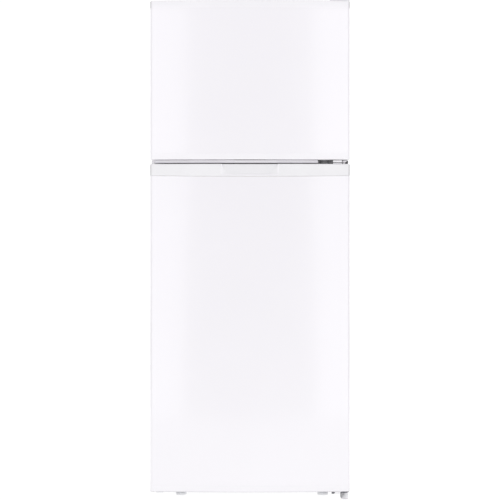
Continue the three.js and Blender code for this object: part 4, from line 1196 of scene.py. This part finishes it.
def dial():
    """A knurled dial under the control housing, and plain dashes round it."""
    node = "temperature_dial"
    low, high = cad(node)
    x, y, _ = middle(node)
    deck = cad("control_housing")[0].z
    bm = bmesh.new()
    for i in range(8):
        angle = math.radians(-225 + 270 * i / 7)
        ends = [polar(radius, angle, (x, y)) for radius in (25.5, 30.5)]
        add_tube(bm, at_z(ends, deck - 0.2), 0.7, 8)
    add_piece("dial_dashes", bm, "grey_plastic")
    top = deck - 0.3
    loops = []
    for radius, drop, notch in (
        (0.01, 0, 0), (22, 0, 0.55), (22, 5.6, 0.55), (21.2, 6.7, 0), (20, 7, 0), (0.01, 7, 0),
    ):
        loop = []
        for i, angle in enumerate(around(144)):
            knurl = notch if i % 4 > 1 else 0
            loop.append(polar(radius - knurl, angle, (x, y)))
        loops.append(at_z(loop, top - drop))
    bm = lofted(loops)
    add_box(bm, (x - 3, y - 18, low.z), (x + 3, y + 18, top - 6), 1.6, 3)
    add_rod(bm, 3, top - 1, high.z, (x, y, 0), 20)
    add_piece("dial_knob", bm, "grey_plastic", node, node)


def fittings():
    wire_shelf()
    ice_tray()
    for node in ("shelf_glass_lower", "shelf_glass_upper", "crisper_glass"):
        refined(node, "glass", 1.2, 3)
    for node in ("shelf_trim_lower", "shelf_trim_upper", "crisper_frame"):
        refined(node, "cap_plastic", 1.2, 3)
    refined("humidity_slider", "grey_plastic", 0.6, body="humidity_slider")
    refined("light_switch", "cap_plastic", 1.2, 3, "light_switch")
    crisper_drawer()
    refined("control_housing", "cap_plastic", 2, 3)
    lamp()
    housing_ribs()
    dial()


# --- Hinges and feet ---

def add_slab(bm, outline, z0, z1, round_by):
    """A plate cut to an outline, its edges softened towards the outline's middle."""
    points = [Vector(point) for point in outline]
    centre = sum(points, Vector((0, 0))) / len(points)
    loops = []
    for inward, z in (
        (1, z0), (0.3, z0 + round_by * 0.3), (0, z0 + round_by),
        (0, z1 - round_by), (0.3, z1 - round_by * 0.3), (1, z1),
    ):
        drawn = [p + (centre - p).normalized() * round_by * inward for p in points]
        loops.append(at_z(drawn, z))
    loft(bm, loops)


def centre_hinge():
    """Plate on the centre rail, and an arm with the pin, its collar and a black rubber wear pad, whose black
    under the arm's lip also stands in for the shadow line there: painted shade.
    """
    node = "centre_hinge"
    low, high = cad(node)
    z = middle(node)[2]
    rear, face = cad("centre_hinge_plug")[1].y, cad("centre_hinge_plug")[0].y
    right, left, end = 296, 250, 277
    line = (HINGE_X, HINGE_Y, 0)
    bm = bmesh.new()
    add_box(bm, (206, face, z - 10.5), (right, rear, z + 10.5), 0.8)
    add_piece("centre_hinge_plate", bm, "plate_paint", node)
    add_screws("centre_hinge_screws", [(217, face, z), (238, face, z)], "Y", "zinc", 4.5, -1)
    bm = bmesh.new()
    eye = [(max(x, left), y) for x, y in arc((HINGE_X, HINGE_Y), 12, 180, 360, 20)]
    add_slab(bm, [(left, face + 1)] + eye + [(right, face + 1)], z, z + 4, 0.7)
    add_box(bm, (left, HINGE_Y - 23, z - 1.6), (end, HINGE_Y - 19, z + 4.8), 0.8, 3)
    add_box(bm, (left, HINGE_Y - 22, z - 5.8), (end, HINGE_Y - 6, z - 3.1), 0.6)
    add_box(bm, (left, HINGE_Y - 22, z + 0.4), (end, HINGE_Y, z + 3.8), 1)
    foot, head = cad("fridge_door_top_cap")[1].z + 0.4, DOOR_FOOT["freezer_door"] - 0.4
    collar = [(0, foot), (6, foot), (6.5, foot + 0.6), (6.5, head - 0.6), (6, head), (0, head)]
    add_lathe(bm, collar, line)
    pin = [(0, low.z), (2.6, low.z), (3.5, low.z + 1.2), (3.5, high.z - 1.2), (2.6, high.z), (0, high.z)]
    add_lathe(bm, pin, line, 28)
    add_piece("centre_hinge_arm", bm, "enamel")
    # black pad under the arm's lip: a real pad, whose black also paints the shadow line under the arm
    bm = bmesh.new()
    add_box(bm, (left - 1, HINGE_Y - 22.5, z - 3.0), (end + 1, HINGE_Y + 24, z - 1.7), 0.4)
    add_box(bm, (290, HINGE_Y - 9, z - 4.4), (right, HINGE_Y, z + 4), 0.8)
    add_piece("centre_hinge_pad_and_painted_shadow", bm, "rubber")


def unused_hinge():
    """Cover over the centre hinge's place on the other side."""
    node = "centre_hinge_plug"
    low, high = cad(node)
    bm = bmesh.new()
    add_box(bm, low, high, 1.1, 3)
    add_box(bm, (low.x + 10, low.y - 0.5, low.z + 4), (high.x - 10, low.y + 1, high.z - 4), 0.4)
    add_piece("unused_hinge_cover", bm, "cap_plastic", node)
    places = [(x, low.y - 0.4, middle("centre_hinge")[2]) for x in (-262, -254)]
    add_screws("unused_hinge_screws", places, "Y", "dark_zinc", 2.4, -1)


def other_hinges():
    refined("top_hinge", "zinc", 0.6)
    refined("top_hinge_cover", "cap_plastic", 2.2, 4)
    refined("bottom_hinge", "dark_zinc", 0.5)
    deck = cad("cabinet_shell")[1].z + 3.3
    add_screws("top_hinge_screws", [(262, -222, deck), (285, -212, deck)], "Z", "zinc", 4.5)
    brace = [(249, 26), (249, 13.5), (255, 13), (262, 16.5), (275, 17.5), (275, 26)]
    bm = bmesh.new()
    add_box(bm, (275.4, HINGE_Y - 4, 5), (277.8, HINGE_Y + 26, 23), 0.8)
    loft(bm, [at_y(brace, HINGE_Y + 28), at_y(brace, HINGE_Y + 30.4)])
    add_piece("bottom_hinge_gusset", bm, "dark_zinc")
    face = cad("bottom_hinge")[1].y - 3
    add_screws("bottom_hinge_screws", [(254, face, 40), (272, face, 40)], "Y", outward=-1)
    for node in ("door_stop", "door_hole_cover"):
        refined(node, "cap_plastic", 1.2, 3, "fridge_door")


def levelling_foot(node):
    """Moulded pad with a grooved collar, and the threaded stud up into the cabinet."""
    x, y, _ = middle(node)
    top, pitch = cad(node)[1].z, 0.75
    profile = [
        (0, 0.6), (9, 0.6), (9.6, 0), (14.6, 0), (15.8, 0.4), (16.4, 1.4), (16.5, 2.4), (16.5, 7.4),
        (16.1, 8.2), (15, 8.8), (12.8, 9.4), (12.2, 10.6), (11.4, 11.6), (9.8, 12), (6.4, 12.4),
        (6, 13), (6, 16), (4.6, 16.4),
    ]
    profile += [(4.6 + 0.35 * (i % 2), 17.5 + i * pitch) for i in range(int((top - 18.5) / pitch))]
    bm = bmesh.new()
    add_lathe(bm, profile + [(4.2, top), (0, top)], (x, y, 0), 48)
    add_piece(f"{node}_pad", bm, "foot_plastic", node, node)


def hinge_foot():
    """Corner foot: a cup with a flared, ribbed wall and a threaded stud up its middle."""
    node = "hinge_foot"
    low, high = cad(node)
    radius, ribs = (high.x - low.x) / 2, 22
    rim = cad("bottom_hinge")[0].z + 16.7
    levels = [
        (0.3, 0, 0), (0.93, 0, 0), (1.0, 0.8, 0), (1.0, 2.4, 0), (0.96, 2.9, 1), (0.96, rim - 3, 1),
        (1.0, rim - 2.4, 0), (1.0, rim - 0.6, 0), (0.95, rim, 0), (0.74, rim, 0), (0.74, 4, 0),
        (0.36, 4, 0), (0.36, high.z, 0), (0.05, high.z, 0),
    ]
    centre = middle(node)
    loops = []
    for share, z, ribbed in levels:
        loop = []
        for angle in around(ribs * 6):
            notch = 0.075 * radius * ribbed * (0.5 - 0.5 * math.cos(ribs * angle))
            loop.append(polar(share * radius - notch, angle, centre))
        loops.append(at_z(loop, z))
    bm = lofted(loops)
    add_piece("ribbed_foot", bm, "foot_plastic", node, node)


def roller(node):
    low, high = cad(node)
    half, radius = (high.x - low.x) / 2, (high.z - low.z) / 2
    section = [
        (3.4, -half), (5.5, -half), (6, -half + 1.5), (10, -half + 2.4), (10.6, -half),
        (radius - 1.2, -half), (radius - 0.3, -half + 0.5), (radius, -half + 1.5),
    ]
    section += [(r, -h) for r, h in section[::-1]]
    centre = middle(node)
    bm = bmesh.new()
    loops = [[spun(r, h, angle, centre, "X") for r, h in section] for angle in around(48)]
    loft(bm, loops, ring=True)
    add_piece(f"{node}_wheel", bm, "grey_plastic", node, node)


def add_cabinet():
    cabinet_shell()
    back_panel()
    refined("cabinet_foam", "foam", 0)
    rooms()
    centre_rail()
    lower_rail()
    machine_bay()
    fittings()
    refined("fan_blade", "grey_plastic", 0.3, body="fan_blade")
    centre_hinge()
    unused_hinge()
    other_hinges()
    levelling_foot("foot_left")
    levelling_foot("foot_right")
    hinge_foot()
    roller("roller_left")
    roller("roller_right")


bpy.context.scene.view_settings.view_transform = "Standard"
add_camera()
add_world()
add_lights()
add_floor()
add_doors()
add_cabinet()
